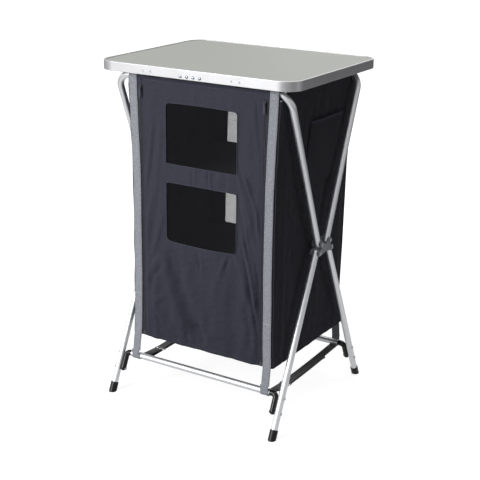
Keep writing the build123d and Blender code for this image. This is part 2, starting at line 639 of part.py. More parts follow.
def top_sleeve(over_door):
    """The hem sleeve round the front top tube with its skirt in the cloth's plane, open above at the two clips.
    Over the door the skirt stops short of the door's piping, and elsewhere it comes down to the cloth."""
    half = at_level(BAG_TOP, 1) - FABRIC - 2 * SEAM
    straight = LEG_X - TOP_BEND_RADIUS - 1
    x0 = max(BAG_SHIFT - half, -straight)
    x1 = min(BAG_SHIFT + half, straight)
    front = -FRONT_Y
    back = -FRONT_Y + FABRIC
    sleeve = rod((x0, -TOP_TUBE_Y, TOP_TUBE_Z), (x1, -TOP_TUBE_Y, TOP_TUBE_Z), SLEEVE_RADIUS)
    sleeve = sleeve + block(x0, x1, front, -TOP_TUBE_Y, TOP_TUBE_Z - FABRIC, TOP_TUBE_Z)
    if over_door:
        door_left = BAG_SHIFT - DOOR_EDGE
        door_right = BAG_SHIFT + DOOR_EDGE
        sleeve = sleeve + block(x0, x1, front, back, FLAP_BOTTOM, TOP_TUBE_Z)
        sleeve = sleeve + block(x0, door_left, front, back, BAG_TOP + SEAM, TOP_TUBE_Z)
        sleeve = sleeve + block(door_right, x1, front, back, BAG_TOP + SEAM, TOP_TUBE_Z)
    else:
        sleeve = sleeve + block(x0, x1, front, back, BAG_TOP + SEAM, TOP_TUBE_Z)
    sleeve = sleeve - rod((x0 - 1, -TOP_TUBE_Y, TOP_TUBE_Z), (x1 + 1, -TOP_TUBE_Y, TOP_TUBE_Z), LOOP_RADIUS)
    reach = CLIP_WIDTH / 2 + SEAM
    low = TOP_TUBE_Z - CLIP_GRIP_DEPTH - 1
    high = TOP_TUBE_Z + TUBE_DIAMETER
    for x in (-CLIP_X, CLIP_X):
        sleeve = sleeve - block(x - reach, x + reach, back, -TOP_TUBE_Y + TUBE_DIAMETER, low, high)
        sleeve = sleeve - block(x - reach, x + reach, front - 1, back + 1, TOP_TUBE_Z, high)
    return sleeve


def door_section(z, depth):
    x0 = BAG_SHIFT - DOOR_EDGE + SEAM
    x1 = BAG_SHIFT + DOOR_EDGE - SEAM
    outer = folded_line((x0, -FRONT_Y), (x1, -FRONT_Y), (0, -1), DOOR_FOLDS, depth, z)
    inner = folded_line((x1, -FRONT_Y + FABRIC), (x0, -FRONT_Y + FABRIC), (0, -1), DOOR_FOLDS, depth, z)
    return ring_section([Vector(x0, -FRONT_Y, z)] + outer + [Vector(x1, -FRONT_Y + FABRIC, z)] + inner)


def window_prism(width, corner, z, y0, y1):
    """A rounded window opening through the cloth between two depths."""
    outline = RectangleRounded(width, WINDOW_HEIGHT, corner)
    face = Plane((BAG_SHIFT, y0, z), x_dir=(1, 0, 0), z_dir=(0, 1, 0)) * outline
    return extrude(face, y1 - y0)


def door_sheet():
    window_foot = FRONT_LOWER_WINDOW_Z - WINDOW_HEIGHT / 2
    levels = [
        (BAG_BOTTOM, DOOR_FOLD_BOTTOM),
        ((BAG_BOTTOM + window_foot) / 2, DOOR_FOLD_LOWER),
        (window_foot, DOOR_FOLD_UPPER),
        (DOOR_TOP, DOOR_FOLD_UPPER),
    ]
    return loft([door_section(z, depth) for z, depth in levels], ruled=True)


def front_door():
    door = door_sheet()
    for z in (FRONT_UPPER_WINDOW_Z, FRONT_LOWER_WINDOW_Z):
        door = door - window_prism(WINDOW_WIDTH, WINDOW_CORNER, z, -FRONT_Y - 20, -FRONT_Y + 20)
    x0 = BAG_SHIFT - DOOR_EDGE + SEAM
    x1 = BAG_SHIFT + DOOR_EDGE - SEAM
    piping = rod((x0, -HINGE_Y, HINGE_Z), (x1, -HINGE_Y, HINGE_Z), PIPING_RADIUS)
    hem = block(x0, x1, -FRONT_Y, -FRONT_Y + FABRIC, DOOR_TOP - FABRIC, HINGE_Z)
    return door + hem + piping


def window_net(width, corner, z, columns, rows, y_at, slope):
    """A net sheet with square holes, in a plane that passes y_at at height z and leans by slope."""
    lean = math.atan(slope)
    plane = Plane((BAG_SHIFT, y_at, z), x_dir=(1, 0, 0), z_dir=(0, -math.cos(lean), math.sin(lean)))
    outline = RectangleRounded(width - 2 * SEAM, WINDOW_HEIGHT - 2 * SEAM, corner - SEAM)
    border = 2 * SEAM + NET_STRAND
    pitch_x = (width - border) / columns
    pitch_z = (WINDOW_HEIGHT - border) / rows
    cells = GridLocations(pitch_x, pitch_z, columns, rows)
    holes = Sketch() + [place * Rectangle(pitch_x - NET_STRAND, pitch_z - NET_STRAND) for place in cells]
    return extrude(plane * (outline - holes), NET_THICKNESS / 2, both=True)


def zip_track(side):
    """A coil zip in the gap between the door and the corner strip: the tape, the coil and the box at its foot."""
    x = BAG_SHIFT + side * ZIP_X
    half = ZIP_TAPE / 2 - SEAM
    coil_half = ZIP_COIL_WIDTH / 2
    front = -FRONT_Y
    tape = block(x - half, x + half, front, front + FABRIC, BAG_BOTTOM, BAG_TOP)
    coil = block(x - coil_half, x + coil_half, front - ZIP_COIL_RISE, front, BAG_BOTTOM, BAG_TOP)
    foot = block(x - half, x + half, front - ZIP_BOX_RISE, front, BAG_BOTTOM, BAG_BOTTOM + ZIP_BOX_HEIGHT)
    return tape + coil + foot


def zip_slider(side):
    """The slider at the head of its zip, with its pull hanging from a bail."""
    x = BAG_SHIFT + side * ZIP_X
    half = SLIDER_WIDTH / 2
    back = -FRONT_Y - ZIP_COIL_RISE - SEAM
    front = back - SLIDER_DEPTH
    low = BAG_TOP - SLIDER_END - SLIDER_HEIGHT
    body = block(x - half, x + half, front, back, low, low + SLIDER_HEIGHT)
    body = fillet(body.edges().filter_by(Axis.Y), BAIL_DEPTH * 0.8)
    bail = block(x - 1, x + 1, front - BAIL_DEPTH, front, low + BAIL_DEPTH, low + SLIDER_HEIGHT - BAIL_DEPTH)
    hang = front - BAIL_DEPTH
    top = low + SLIDER_HEIGHT / 2
    pull = block(x - PULL_WIDTH / 2, x + PULL_WIDTH / 2, hang - PULL_THICKNESS, hang, top - PULL_LENGTH, top)
    return body + bail + fillet(pull.edges().filter_by(Axis.Y), PULL_WIDTH * 0.3)


def pocket_sheet(bottom, top, inset, out0, out1):
    """An upright slab beside the right side panel, out0 to out1 away from the crests of its folds."""
    sections = []
    for z in (bottom, top):
        crest = BAG_SHIFT + at_level(z, 1) + FOLD_CREST * at_level(z, 3) + CREST_GAP
        y0 = POCKET_FRONT_Y + inset
        y1 = POCKET_REAR_Y - inset
        corners = [(crest + out0, y0), (crest + out1, y0), (crest + out1, y1), (crest + out0, y1)]
        sections.append(Face(Wire.make_polygon([Vector(x, y, z) for x, y in corners], close=True)))
    return loft(sections, ruled=True)


def side_pocket():
    """A patch pocket on the right side: it stands off at its open top and is closed round its other edges."""
    hollow = pocket_sheet(POCKET_BOTTOM + FABRIC, POCKET_TOP + FABRIC, FABRIC, -FABRIC, POCKET_DEPTH - FABRIC)
    return pocket_sheet(POCKET_BOTTOM, POCKET_TOP, 0, 0, POCKET_DEPTH) - hollow


# Webbing
def strap_run(levels):
    """A webbing strap: rectangles of one width and thickness at each (z, x, y of the outer face, outward side)."""
    sections = []
    for z, x, y, side in levels:
        x0 = x - STRAP_WIDTH / 2
        x1 = x + STRAP_WIDTH / 2
        y1 = y - side * STRAP_THICKNESS
        corners = [Vector(x0, y, z), Vector(x1, y, z), Vector(x1, y1, z), Vector(x0, y1, z)]
        sections.append(Face(Wire.make_polygon(corners, close=True)))
    return loft(sections, ruled=True)


def strap_x(z, side):
    """The middle of a corner strap: it follows the cabinet's edge and then leads to its place on the rail."""
    at_bottom = BAG_SHIFT + side * (HALF_WIDTH_BOTTOM - STRAP_INSET)
    if z >= BAG_BOTTOM:
        return BAG_SHIFT + side * (at_level(z, 1) - STRAP_INSET)
    at_rail = STRAP_RAIL_SHIFT + side * STRAP_RAIL_X
    share = (BAG_BOTTOM - z) / (BAG_BOTTOM - RAIL_Z)
    return at_bottom + share * (at_rail - at_bottom)


def corner_strap(side, end):
    """The main run of a corner strap from round its top tube down to just above its loop. end is -1 front, 1 rear."""
    outer_top = STRAP_Y_TOP + STRAP_THICKNESS
    outer_rail = STRAP_Y_RAIL + STRAP_THICKNESS
    levels = []
    for z in (STRAP_BOTTOM, BAG_BOTTOM, TUCK_Z, LOWER_SHELF_Z, UPPER_SHELF_Z, BAG_TOP, TOP_TUBE_Z):
        if end < 0:
            share = (TOP_TUBE_Z - z) / (TOP_TUBE_Z - RAIL_Z)
            y = outer_top + share * (outer_rail - outer_top)
        elif z >= BAG_BOTTOM:
            y = at_level(z, 2) + SEAM + STRAP_THICKNESS
        else:
            share = (BAG_BOTTOM - z) / (BAG_BOTTOM - RAIL_Z)
            at_hem = at_level(BAG_BOTTOM, 2) + SEAM + STRAP_THICKNESS
            y = at_hem + share * (outer_rail - at_hem)
        levels.append((z, strap_x(z, side), end * y, end))
    x0 = strap_x(TOP_TUBE_Z, side) - STRAP_WIDTH / 2
    x1 = x0 + STRAP_WIDTH
    centre = end * TOP_TUBE_Y
    outer = outer_top - TOP_TUBE_Y
    hoop = rod((x0, centre, TOP_TUBE_Z), (x1, centre, TOP_TUBE_Z), outer)
    hoop = hoop - rod((x0 - 1, centre, TOP_TUBE_Z), (x1 + 1, centre, TOP_TUBE_Z), outer - STRAP_THICKNESS)
    hoop = hoop & block(x0 - 1, x1 + 1, centre - 2 * outer, centre + 2 * outer, TOP_TUBE_Z, TOP_TUBE_Z + 2 * outer)
    faces = sorted([centre - end * outer, centre - end * (outer - STRAP_THICKNESS)])
    drop = block(x0, x1, faces[0], faces[1], TOP_TUBE_Z - STRAP_END_DROP, TOP_TUBE_Z)
    return strap_run(levels) + hoop + drop


def rail_loop(side, end):
    """The end of a corner strap: down the rail's outer side and a quarter turn to its underside."""
    x = strap_x(RAIL_Z, side)
    x0 = x - STRAP_WIDTH / 2
    x1 = x + STRAP_WIDTH / 2
    centre = end * RAIL_Y
    outer = LOOP_RADIUS + STRAP_THICKNESS
    turn = rod((x0, centre, RAIL_Z), (x1, centre, RAIL_Z), outer)
    turn = turn - rod((x0 - 1, centre, RAIL_Z), (x1 + 1, centre, RAIL_Z), LOOP_RADIUS)
    span = sorted([centre, centre + end * outer])
    turn = turn & block(x0, x1, span[0], span[1], RAIL_Z - outer, RAIL_Z)
    faces = sorted([centre + end * LOOP_RADIUS, centre + end * outer])
    return turn + block(x0, x1, faces[0], faces[1], RAIL_Z, LOOP_JOIN_Z)


def ring_x(side):
    return side * RING_X + RING_SHIFT


def strap_ring(side):
    """A wire ring lying flat: two long bars along X and two short ones along Y, with round corners."""
    width = STRAP_WIDTH + 2 * RING_SIDE + 2 * RING_WIRE
    outline = Plane((ring_x(side), RING_Y, RING_Z)) * RectangleRounded(width, RING_DEPTH, RING_CORNER)
    path = outline.wires()[0]
    return sweep(Plane(path @ 0, z_dir=path % 0) * Circle(RING_WIRE), path=path)


def layer(y0, x0, y1, x1, z0):
    """A flat length of webbing from (x0, y0) to (x1, y1), standing on z0."""
    half = STRAP_WIDTH / 2
    corners = [(x0 - half, y0), (x0 + half, y0), (x1 + half, y1), (x1 - half, y1)]
    outline = Wire.make_polygon([Vector(x, y, z0) for x, y in corners], close=True)
    return extrude(Face(outline), STRAP_THICKNESS, dir=(0, 0, 1))


def ring_turn(side, bar, way):
    """Webbing bent half round a ring bar, open towards way."""
    x = ring_x(side)
    x0 = x - STRAP_WIDTH / 2
    x1 = x + STRAP_WIDTH / 2
    inner = RING_WIRE + SEAM
    outer = inner + STRAP_THICKNESS
    turn = rod((x0, bar, RING_Z), (x1, bar, RING_Z), outer) - rod((x0 - 1, bar, RING_Z), (x1 + 1, bar, RING_Z), inner)
    far = bar - way * 2 * outer
    return turn & block(x0, x1, min(bar, far), max(bar, far), RING_Z - outer, RING_Z + outer)


def side_strap(side, end):
    """A side strap from its loop under the rail, over its ring bar and back under itself. end is -1 front, 1 rear."""
    bar = RING_Y + end * RING_DEPTH / 2
    top = RING_Z + RING_WIRE + SEAM
    under = RING_Z - RING_WIRE - SEAM - STRAP_THICKNESS
    rail_x = strap_x(RAIL_Z, side)
    run = layer(bar, ring_x(side), end * RAIL_Y, rail_x, top)
    strap = rail_loop(side, end) + run + ring_turn(side, bar, end)
    if end < 0:
        return strap + layer(bar, ring_x(side), bar - FRONT_STRAP_RETURN, ring_x(side), under)
    share = (TAIL_Y - bar) / (RAIL_Y - bar)
    tail_x = ring_x(side) + share * (rail_x - ring_x(side))
    half = STRAP_WIDTH / 2
    corners = [(ring_x(side) - half, bar), (ring_x(side) + half, bar), (tail_x + half, TAIL_Y)]
    corners += [(tail_x, TAIL_Y + TAIL_POINT), (tail_x - half, TAIL_Y)]
    outline = Wire.make_polygon([Vector(px, py, under) for px, py in corners], close=True)
    return strap + extrude(Face(outline), STRAP_THICKNESS, dir=(0, 0, 1))


os.makedirs("parts", exist_ok=True)

# Table top, one body
save("table_board", table_board())
save("edge_band", edge_band())
save("splice_plate", splice_plate())
save("splice_rivets", Compound(children=[Solid(s.wrapped) for r in splice_rivets() for s in r.solids()]))
save("clip_rivets", Compound(children=[Solid(s.wrapped) for r in clip_rivets() for s in r.solids()]))
for place, x in (("left", -CLIP_X), ("right", CLIP_X)):
    save("front_" + place + "_clip", table_clip(x))
    save("rear_" + place + "_clip", mirror_y(table_clip(x)))

# Upper frames and hubs
upper = front_upper_frame()
save("front_upper_frame", upper)
save("rear_upper_frame", mirror_y(upper))
plate = hub_plate()
outer_plate = Pos(HUB_OUTER_X, 0, 0) * plate
inner_plate = Pos(HUB_INNER_X, 0, 0) * mirror_x(plate)
save("right_hub_outer_plate", outer_plate)
save("right_hub_inner_plate", inner_plate)
save("left_hub_outer_plate", mirror_x(outer_plate))
save("left_hub_inner_plate", mirror_x(inner_plate))
save("hub_pins", Compound(children=[Solid(s.wrapped) for p in hub_pins() for s in p.solids()]))

# Lower frames
leg = lower_leg()
connector = corner_connector()
cap = foot_cap()
front_rail = rail()
rivets = connector_rivets()
for end, turned in (("front", lambda s: s), ("rear", mirror_y)):
    save(end + "_rail", turned(front_rail))
    save(end + "_right_leg", turned(leg))
    save(end + "_left_leg", turned(mirror_x(leg)))
    save(end + "_right_connector", turned(connector))
    save(end + "_left_connector", turned(mirror_x(connector)))
    save(end + "_right_foot_cap", turned(cap))
    save(end + "_left_foot_cap", turned(mirror_x(cap)))
    save(end + "_connector_rivets", Compound(children=[Solid(s.wrapped) for r in rivets for s in turned(r).solids()]))

# Cabinet
right_side = side_panel()
about_middle = Plane((BAG_SHIFT, 0, 0), z_dir=(1, 0, 0))
save("right_side_panel", right_side)
save("left_side_panel", mirror(right_side, about_middle))
back = back_panel()
for z in (REAR_UPPER_WINDOW_Z, REAR_LOWER_WINDOW_Z):
    back = back - window_prism(REAR_WINDOW_WIDTH, REAR_WINDOW_CORNER, z, 0, FRONT_Y + 20)
save("back_panel", back)
save("cabinet_floor", shelf(BAG_BOTTOM + SHELF_THICKNESS))
save("lower_shelf", shelf(LOWER_SHELF_Z))
save("upper_shelf", shelf(UPPER_SHELF_Z))
save("front_top_sleeve", top_sleeve(True))
save("rear_top_sleeve", mirror_y(top_sleeve(False)))
for name, z in (("rear_upper_window", REAR_UPPER_WINDOW_Z), ("rear_lower_window", REAR_LOWER_WINDOW_Z)):
    low = at_level(z - WINDOW_HEIGHT / 2, 2)
    high = at_level(z + WINDOW_HEIGHT / 2, 2)
    slope = (high - low) / WINDOW_HEIGHT
    middle = (low + high) / 2 - FABRIC / 2
    save(name, window_net(REAR_WINDOW_WIDTH, REAR_WINDOW_CORNER, z, REAR_NET_COLUMNS, NET_ROWS, middle, slope))
save("side_pocket", side_pocket())
save("left_zip", zip_track(-1))
save("right_zip", zip_track(1))
for place, side in (("left", -1), ("right", 1)):
    save("front_" + place + "_strap", corner_strap(side, -1))
    save("rear_" + place + "_strap", corner_strap(side, 1))

# Door and zip sliders
save("front_door", front_door())
for name, z in (("front_upper_window", FRONT_UPPER_WINDOW_Z), ("front_lower_window", FRONT_LOWER_WINDOW_Z)):
    middle = -FRONT_Y + FABRIC / 2 - DOOR_FOLD_UPPER
    save(name, window_net(WINDOW_WIDTH, WINDOW_CORNER, z, NET_COLUMNS, NET_ROWS, middle, 0))
save("left_zip_slider", zip_slider(-1))
save("right_zip_slider", zip_slider(1))

# Webbing on the lower frames
for name, end in (("front_side_straps", -1), ("rear_side_straps", 1)):
    save(name, Compound(children=[Solid(s.wrapped) for side in (-1, 1) for s in side_strap(side, end).solids()]))
save("strap_rings", Compound(children=[Solid(s.wrapped) for side in (-1, 1) for s in strap_ring(side).solids()]))
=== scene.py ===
import math

import bpy
import numpy as np
from mathutils import Matrix, Vector


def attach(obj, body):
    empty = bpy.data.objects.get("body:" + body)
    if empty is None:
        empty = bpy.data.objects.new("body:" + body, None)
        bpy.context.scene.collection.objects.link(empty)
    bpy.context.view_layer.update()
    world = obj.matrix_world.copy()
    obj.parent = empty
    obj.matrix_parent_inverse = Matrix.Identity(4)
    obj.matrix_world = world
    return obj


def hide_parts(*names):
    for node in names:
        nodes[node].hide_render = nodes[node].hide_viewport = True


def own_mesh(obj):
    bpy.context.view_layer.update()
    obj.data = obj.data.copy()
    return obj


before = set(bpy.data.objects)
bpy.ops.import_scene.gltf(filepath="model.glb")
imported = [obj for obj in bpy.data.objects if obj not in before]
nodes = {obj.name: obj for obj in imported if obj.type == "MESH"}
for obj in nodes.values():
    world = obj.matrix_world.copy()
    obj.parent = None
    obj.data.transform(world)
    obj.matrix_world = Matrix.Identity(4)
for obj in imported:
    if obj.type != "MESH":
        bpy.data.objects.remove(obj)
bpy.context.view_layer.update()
MM = 0.001
random = np.random.default_rng(7)
BAG = "cabinet_and_upper_frames"
ENDS = (("front", -1), ("rear", 1))
SIDES = (("left", -1), ("right", 1))

# The cabinet's sizes, in millimetres
SHIFT = 12.0
FRONT = -204.0
CLOTH = 1.0
BOTTOM = 180.0
HEM_ROW = BOTTOM + 9.0
TOP = 893.0
DOOR_TOP = 904.0
DOOR_HALF = 187.4
SHELF_SEAMS = {"upper": 659.0, "lower": 411.0}
SHELF_FRONT = -201.9
WINDOW_HALF = 110.0
WINDOW_HALF_HEIGHT = 81.0
REAR_WINDOW_HALF = 173.5
REAR_HALF_HEIGHT = 85.0
HEAD_FOOT = 860.0
HEAD_RISE = 22.0
HEAD_REACH = 178.5
CORNER_RISE = 6.0
CORNER_X = 4.0
CORNER_Y = 8.0
STRIP_EDGE = 192.4
SEAM_CORD = 1.5
SLEEVE_END = 219.5
SLEEVE_RADIUS = 10.45
CLIP_X = 135.0
CLIP_HALF = 19.2
ZIP_X = 190.0
POCKET = (-50.0, 140.0, 640.0, 815.0)

# Tubes, rails and straps
TUBE_Y = 192.0
TUBE_Z = 912.0
RAIL_Y = 196.457
RAIL_Z = 107.5
RAIL_SHIFT = 2.5
RAIL_REACH = 212.5
STRAP = 25.0
STRAP_INSET = 16.0
STRAP_TURN = 13.05
STRAP_HEAD = (876.0, 905.0)
STRAP_ROWS = (300.0, 304.0)
PALE_ROW = 6
LOOP_TURN = 10.05
LOOP_END = 9.3
RING_REACH = 211.0
RING_Y = -104.0
RING_Z = 95.1
RING_BAR = 7.0
BAR_TURN = 2.35
TAIL_Y = 116.0

# The cabinet at five heights: height, half width, place of the back, depth of the side folds
LEVELS = [
    (180, 227, 186, 0.6), (235, 224.75, 168, 2), (412, 222.5, 183, 3), (660, 223, 190, 2),
    (893, 232, 204, 0.6),
]


def level(z, column):
    """A cabinet size at height z, with the corners between the levels eased."""
    heights = [row[0] for row in LEVELS]
    values = [row[column] for row in LEVELS]
    eased = [np.interp(np.asarray(z, float) + step, heights, values) for step in (-10, -5, 0, 5, 10)]
    return sum(eased) / 5


def half_at(z):
    return level(z, 1)


def back_at(z):
    return level(z, 2)


def fold_at(z):
    return level(z, 3)


# Materials
def shade(colour, factor):
    return tuple(c * factor for c in colour)


def opaque(value):
    """A plain colour with its alpha, or a socket as it is."""
    return (*value, 1) if isinstance(value, tuple) else value


class Graph:
    """Shader nodes, built with short calls. A value may be a number, a tuple or another node's socket."""

    def __init__(self, tree):
        self.tree = tree

    def put(self, socket, value):
        if isinstance(value, bpy.types.NodeSocket):
            self.tree.links.new(value, socket)
        else:
            socket.default_value = value

    def node(self, kind, inputs=()):
        """A new node, with values for its inputs by name or number."""
        made = self.tree.nodes.new("ShaderNode" + kind)
        for key, value in dict(inputs).items():
            self.put(made.inputs[key], value)
        return made

    def math(self, operation, *values):
        node = self.node("Math", enumerate(values))
        node.operation = operation
        return node.outputs[0]

    def times(self, value, *others):
        for other in others:
            value = self.math("MULTIPLY", value, other)
        return value

    def factor(self, value, strength):
        """A factor of 1 plus a share of the value."""
        return self.math("MULTIPLY_ADD", value, strength, 1.0)

    def coordinates(self, kind="Object"):
        """The place, and its three parts."""
        place = self.node("TexCoord").outputs[kind]
        return place, self.node("SeparateXYZ", {0: place}).outputs

    def noise(self, vector, scale, detail=3.0, roughness=0.6, stretch=None):
        if stretch:
            vector = self.node("Mapping", {"Scale": stretch, "Vector": vector}).outputs[0]
        inputs = {"Scale": scale, "Detail": detail, "Roughness": roughness, "Vector": vector}
        return self.node("TexNoise", inputs).outputs["Fac"]

    def wave(self, value, pitch):
        return self.math("SINE", self.times(value, 2 * math.pi / pitch))

    def ramp(self, value, start, end, low=0.0, high=1.0):
        """Low up to the start and high from the end on, with an even run between them."""
        inputs = {"From Min": start, "From Max": end, "To Min": low, "To Max": high, "Value": value}
        return self.node("MapRange", inputs).outputs[0]

    def spread(self, value, low, high):
        """A 0 to 1 value stretched to run from low to high."""
        return self.ramp(value, 0.0, 1.0, low, high)

    def mix(self, share, first, second):
        node = self.node("Mix")
        node.data_type = "RGBA"
        for key, value in ((0, share), (6, opaque(first)), (7, opaque(second))):
            self.put(node.inputs[key], value)
        return node.outputs[2]


class Surface(Graph):
    """A material and the nodes that feed its shader."""

    def __init__(self, name, roughness, specular=0.5, metallic=0.0, sheen=0.0):
        self.material = bpy.data.materials.new(name)
        self.material.use_nodes = True
        super().__init__(self.material.node_tree)
        self.shader = self.tree.nodes["Principled BSDF"]
        self.shader.inputs["Roughness"].default_value = roughness
        self.shader.inputs["Specular IOR Level"].default_value = specular
        self.shader.inputs["Metallic"].default_value = metallic
        self.shader.inputs["Sheen Weight"].default_value = sheen

    def colour(self, value):
        self.put(self.shader.inputs["Base Color"], value)

    def toned(self, colour, *tones):
        """A colour times several tones that are each about 1."""
        self.colour(self.mix(self.times(*tones, 0.5), (0.0, 0.0, 0.0), shade(colour, 2.0)))

    def roughness(self, value):
        self.put(self.shader.inputs["Roughness"], value)

    def bump(self, height, distance, strength):
        node = self.node("Bump", {"Distance": distance, "Strength": strength, "Height": height})
        self.put(self.shader.inputs["Normal"], node.outputs[0])


def woven(name, colour, flat=False, pitch=0.0011, contrast=0.14, mottle=0.12, depth=0.00012, painted_foot_shade=0.0):
    """Plain woven polyester: crossed threads and a faint mottle.

    flat is for cloth that lies level, and the last argument darkens a wall towards its foot: painted shade
    for the weaker light low down."""
    g = Surface(name, 0.9, specular=0.05, sheen=0.03)
    place, (x, y, z) = g.coordinates()
    along = x if flat else g.math("ADD", x, y)
    across = y if flat else z
    threads = g.times(g.wave(along, pitch), g.wave(across, pitch))
    cloud = g.noise(place, 9.0, 4.0)
    slub = g.noise(place, 260.0, 2.0, stretch=(1, 1, 0.15))
    patch = g.noise(place, 150.0, 3.0, 0.7)
    tones = [
        g.spread(cloud, 1 - mottle, 1 + mottle),
        g.spread(patch, 1 - mottle, 1 + mottle),
        g.spread(slub, 1 - mottle / 2, 1 + mottle / 2),
        g.factor(threads, contrast / 2),
    ]
    # Painted shade: the cloth grows darker towards the foot of the wall, standing in for weaker light there.
    if painted_foot_shade:
        tones.append(g.ramp(z, 0.2, 0.62, 1 - painted_foot_shade, 1.0))
    g.toned(colour, *tones)
    g.roughness(g.spread(cloud, 0.8, 0.92))
    g.bump(g.math("ADD", threads, g.times(slub, 1.5)), depth, 0.7)
    return g.material


def ribbed(name, colour, rib=0.0021, depth=0.00025, width=0.025):
    """Webbing: ribs along its length, crossed by fine weft, with a dark line near each edge.

    It reads the band's own map."""
    g = Surface(name, 0.85, specular=0.1, sheen=0.04)
    place, (along, across, _) = g.coordinates("UV")
    ribs = g.wave(across, rib)
    zig = g.math("ADD", along, g.times(g.math("ABSOLUTE", ribs), 0.0008))
    weft = g.wave(zig, 0.0016)
    from_middle = g.math("ABSOLUTE", g.math("SUBTRACT", across, width / 2))
    from_line = g.math("ABSOLUTE", g.math("SUBTRACT", from_middle, width * 0.36))
    g.toned(
        colour,
        g.spread(g.noise(place, 30.0, 3.0), 0.93, 1.07),
        g.spread(g.noise(place, 900.0, 2.0), 0.86, 1.14),
        g.spread(g.noise(place, 520.0, 3.0, 0.7, stretch=(0.3, 1, 1)), 0.5, 1.5),
        g.spread(g.noise(place, 190.0, 3.0, 0.7), 0.4, 1.6),
        g.factor(g.wave(along, 0.0061), 0.035),
        g.factor(g.ramp(from_line, 0.0, 0.0012, 1.0, 0.0), -0.2),
        g.factor(weft, 0.08),
        g.factor(ribs, 0.05),
    )
    g.bump(g.math("ADD", ribs, g.times(weft, 0.6)), depth, 0.8)
    return g.material


def drawn_metal(name, colour, roughness, grain=(1, 1, 1), metallic=1.0, streak=0.04, scratch=0.00003):
    """Drawn or brushed metal with fine grain along one axis, cloudy polish and small scuffs."""
    g = Surface(name, roughness, metallic=metallic)
    place, _ = g.coordinates()
    lines = g.noise(place, 420.0, 3.0, stretch=grain)
    cloud = g.noise(place, 14.0, 4.0)
    scuff = g.ramp(g.noise(place, 90.0, 5.0, 0.75), 0.62, 0.8)
    g.toned(colour, g.spread(lines, 1 - streak, 1 + streak), g.spread(cloud, 0.95, 1.05))
    polish = g.spread(cloud, roughness * 0.85, roughness * 1.15)
    g.roughness(g.math("ADD", polish, g.times(scuff, 0.12)))
    g.bump(lines, scratch, 0.5)
    return g.material


def moulded(name, colour, roughness, grain=900.0, depth=0.00006, specular=0.5, wear=0.25):
    """Moulded plastic or rubber: fine texture, faint flow marks and paler rubbed patches."""
    g = Surface(name, roughness, specular=specular)
    place, _ = g.coordinates()
    pores = g.noise(place, grain, 3.0)
    cloud = g.noise(place, 22.0, 3.0)
    rubbed = g.ramp(g.noise(place, 60.0, 5.0, 0.7), 0.55, 0.8)
    tone = g.mix(cloud, shade(colour, 0.85), shade(colour, 1.18))
    g.colour(g.mix(g.times(rubbed, wear), tone, tuple(c * 1.5 + 0.02 for c in colour)))
    g.roughness(g.spread(cloud, roughness * 0.85, roughness * 1.12))
    g.bump(pores, depth, 0.6)
    return g.material


def speckled(name, colour):
    """Satin laminate with a fine speckle and a faint long drift of tone."""
    g = Surface(name, 0.5, specular=0.25)
    place, _ = g.coordinates()
    fine = g.noise(place, 1300.0, 2.0)
    flecks = g.ramp(g.noise(place, 480.0, 2.0, 0.8), 0.60, 0.72)
    cloud = g.noise(place, 5.0, 3.0)
    tone = g.mix(g.spread(fine, 0.2, 0.8), shade(colour, 0.93), shade(colour, 1.07))
    tone = g.mix(g.times(flecks, 0.35), tone, shade(colour, 0.72))
    g.colour(g.mix(g.spread(cloud, 0.0, 0.12), tone, shade(colour, 1.2)))
    g.roughness(g.spread(cloud, 0.46, 0.54))
    g.bump(fine, 0.00002, 0.4)
    return g.material


# The wall cloth carries painted shade that darkens it towards the foot.
CLOTH_WALL = woven("cabinet_cloth", (0.0500, 0.0515, 0.0700), painted_foot_shade=0.16)
CLOTH_SIDE = woven("side_cloth", (0.050, 0.050, 0.060))
CLOTH_LEVEL = woven("shelf_cloth", (0.050, 0.050, 0.054), flat=True)
BINDING = woven("binding_cloth", (0.070, 0.072, 0.094), pitch=0.0008, mottle=0.2)
NET = moulded("window_net", (0.020, 0.020, 0.024), 0.8, specular=0.1, wear=0.1)
THREAD = moulded("thread", (0.066, 0.068, 0.086), 0.8, specular=0.1)
PALE_THREAD = moulded("pale_thread", (0.62, 0.64, 0.66), 0.8, specular=0.1)
ZIP_TAPE = woven("zip_tape", (0.050, 0.052, 0.068), pitch=0.0007)
ZIP_COIL = moulded("zip_coil", (0.050, 0.052, 0.066), 0.4)
ZIP_METAL = moulded("zip_metal", (0.062, 0.064, 0.082), 0.5, specular=0.2)
GREY_WEBBING = ribbed("grey_webbing", (0.355, 0.370, 0.408))
DARK_WEBBING = ribbed("dark_webbing", (0.19, 0.19, 0.195))
TUBE = drawn_metal("tube_metal", (0.75, 0.76, 0.78), 0.40, (1, 1, 0.04), metallic=0.75, streak=0.06)
RAIL = drawn_metal("rail_metal", (0.60, 0.61, 0.63), 0.42, (0.04, 1, 1), metallic=0.75, streak=0.06)
BAND = drawn_metal("band_metal", (0.62, 0.62, 0.635), 0.38, (0.03, 0.03, 1), metallic=0.7, streak=0.07)
RIVET = drawn_metal("rivet_metal", (0.32, 0.35, 0.40), 0.28)
RING = drawn_metal("ring_steel", (0.62, 0.62, 0.62), 0.2)
BLACK_PLASTIC = moulded("black_plastic", (0.008, 0.008, 0.009), 0.22, specular=0.24, wear=0.06)
RUBBER = moulded("foot_rubber", (0.010, 0.010, 0.010), 0.28, 600.0, 0.0001, specular=0.2, wear=0.08)
HUB = moulded("hub_plastic", (0.33, 0.35, 0.37), 0.45, 380.0, 0.00025)
LAMINATE = speckled("laminate", (0.435, 0.445, 0.410))

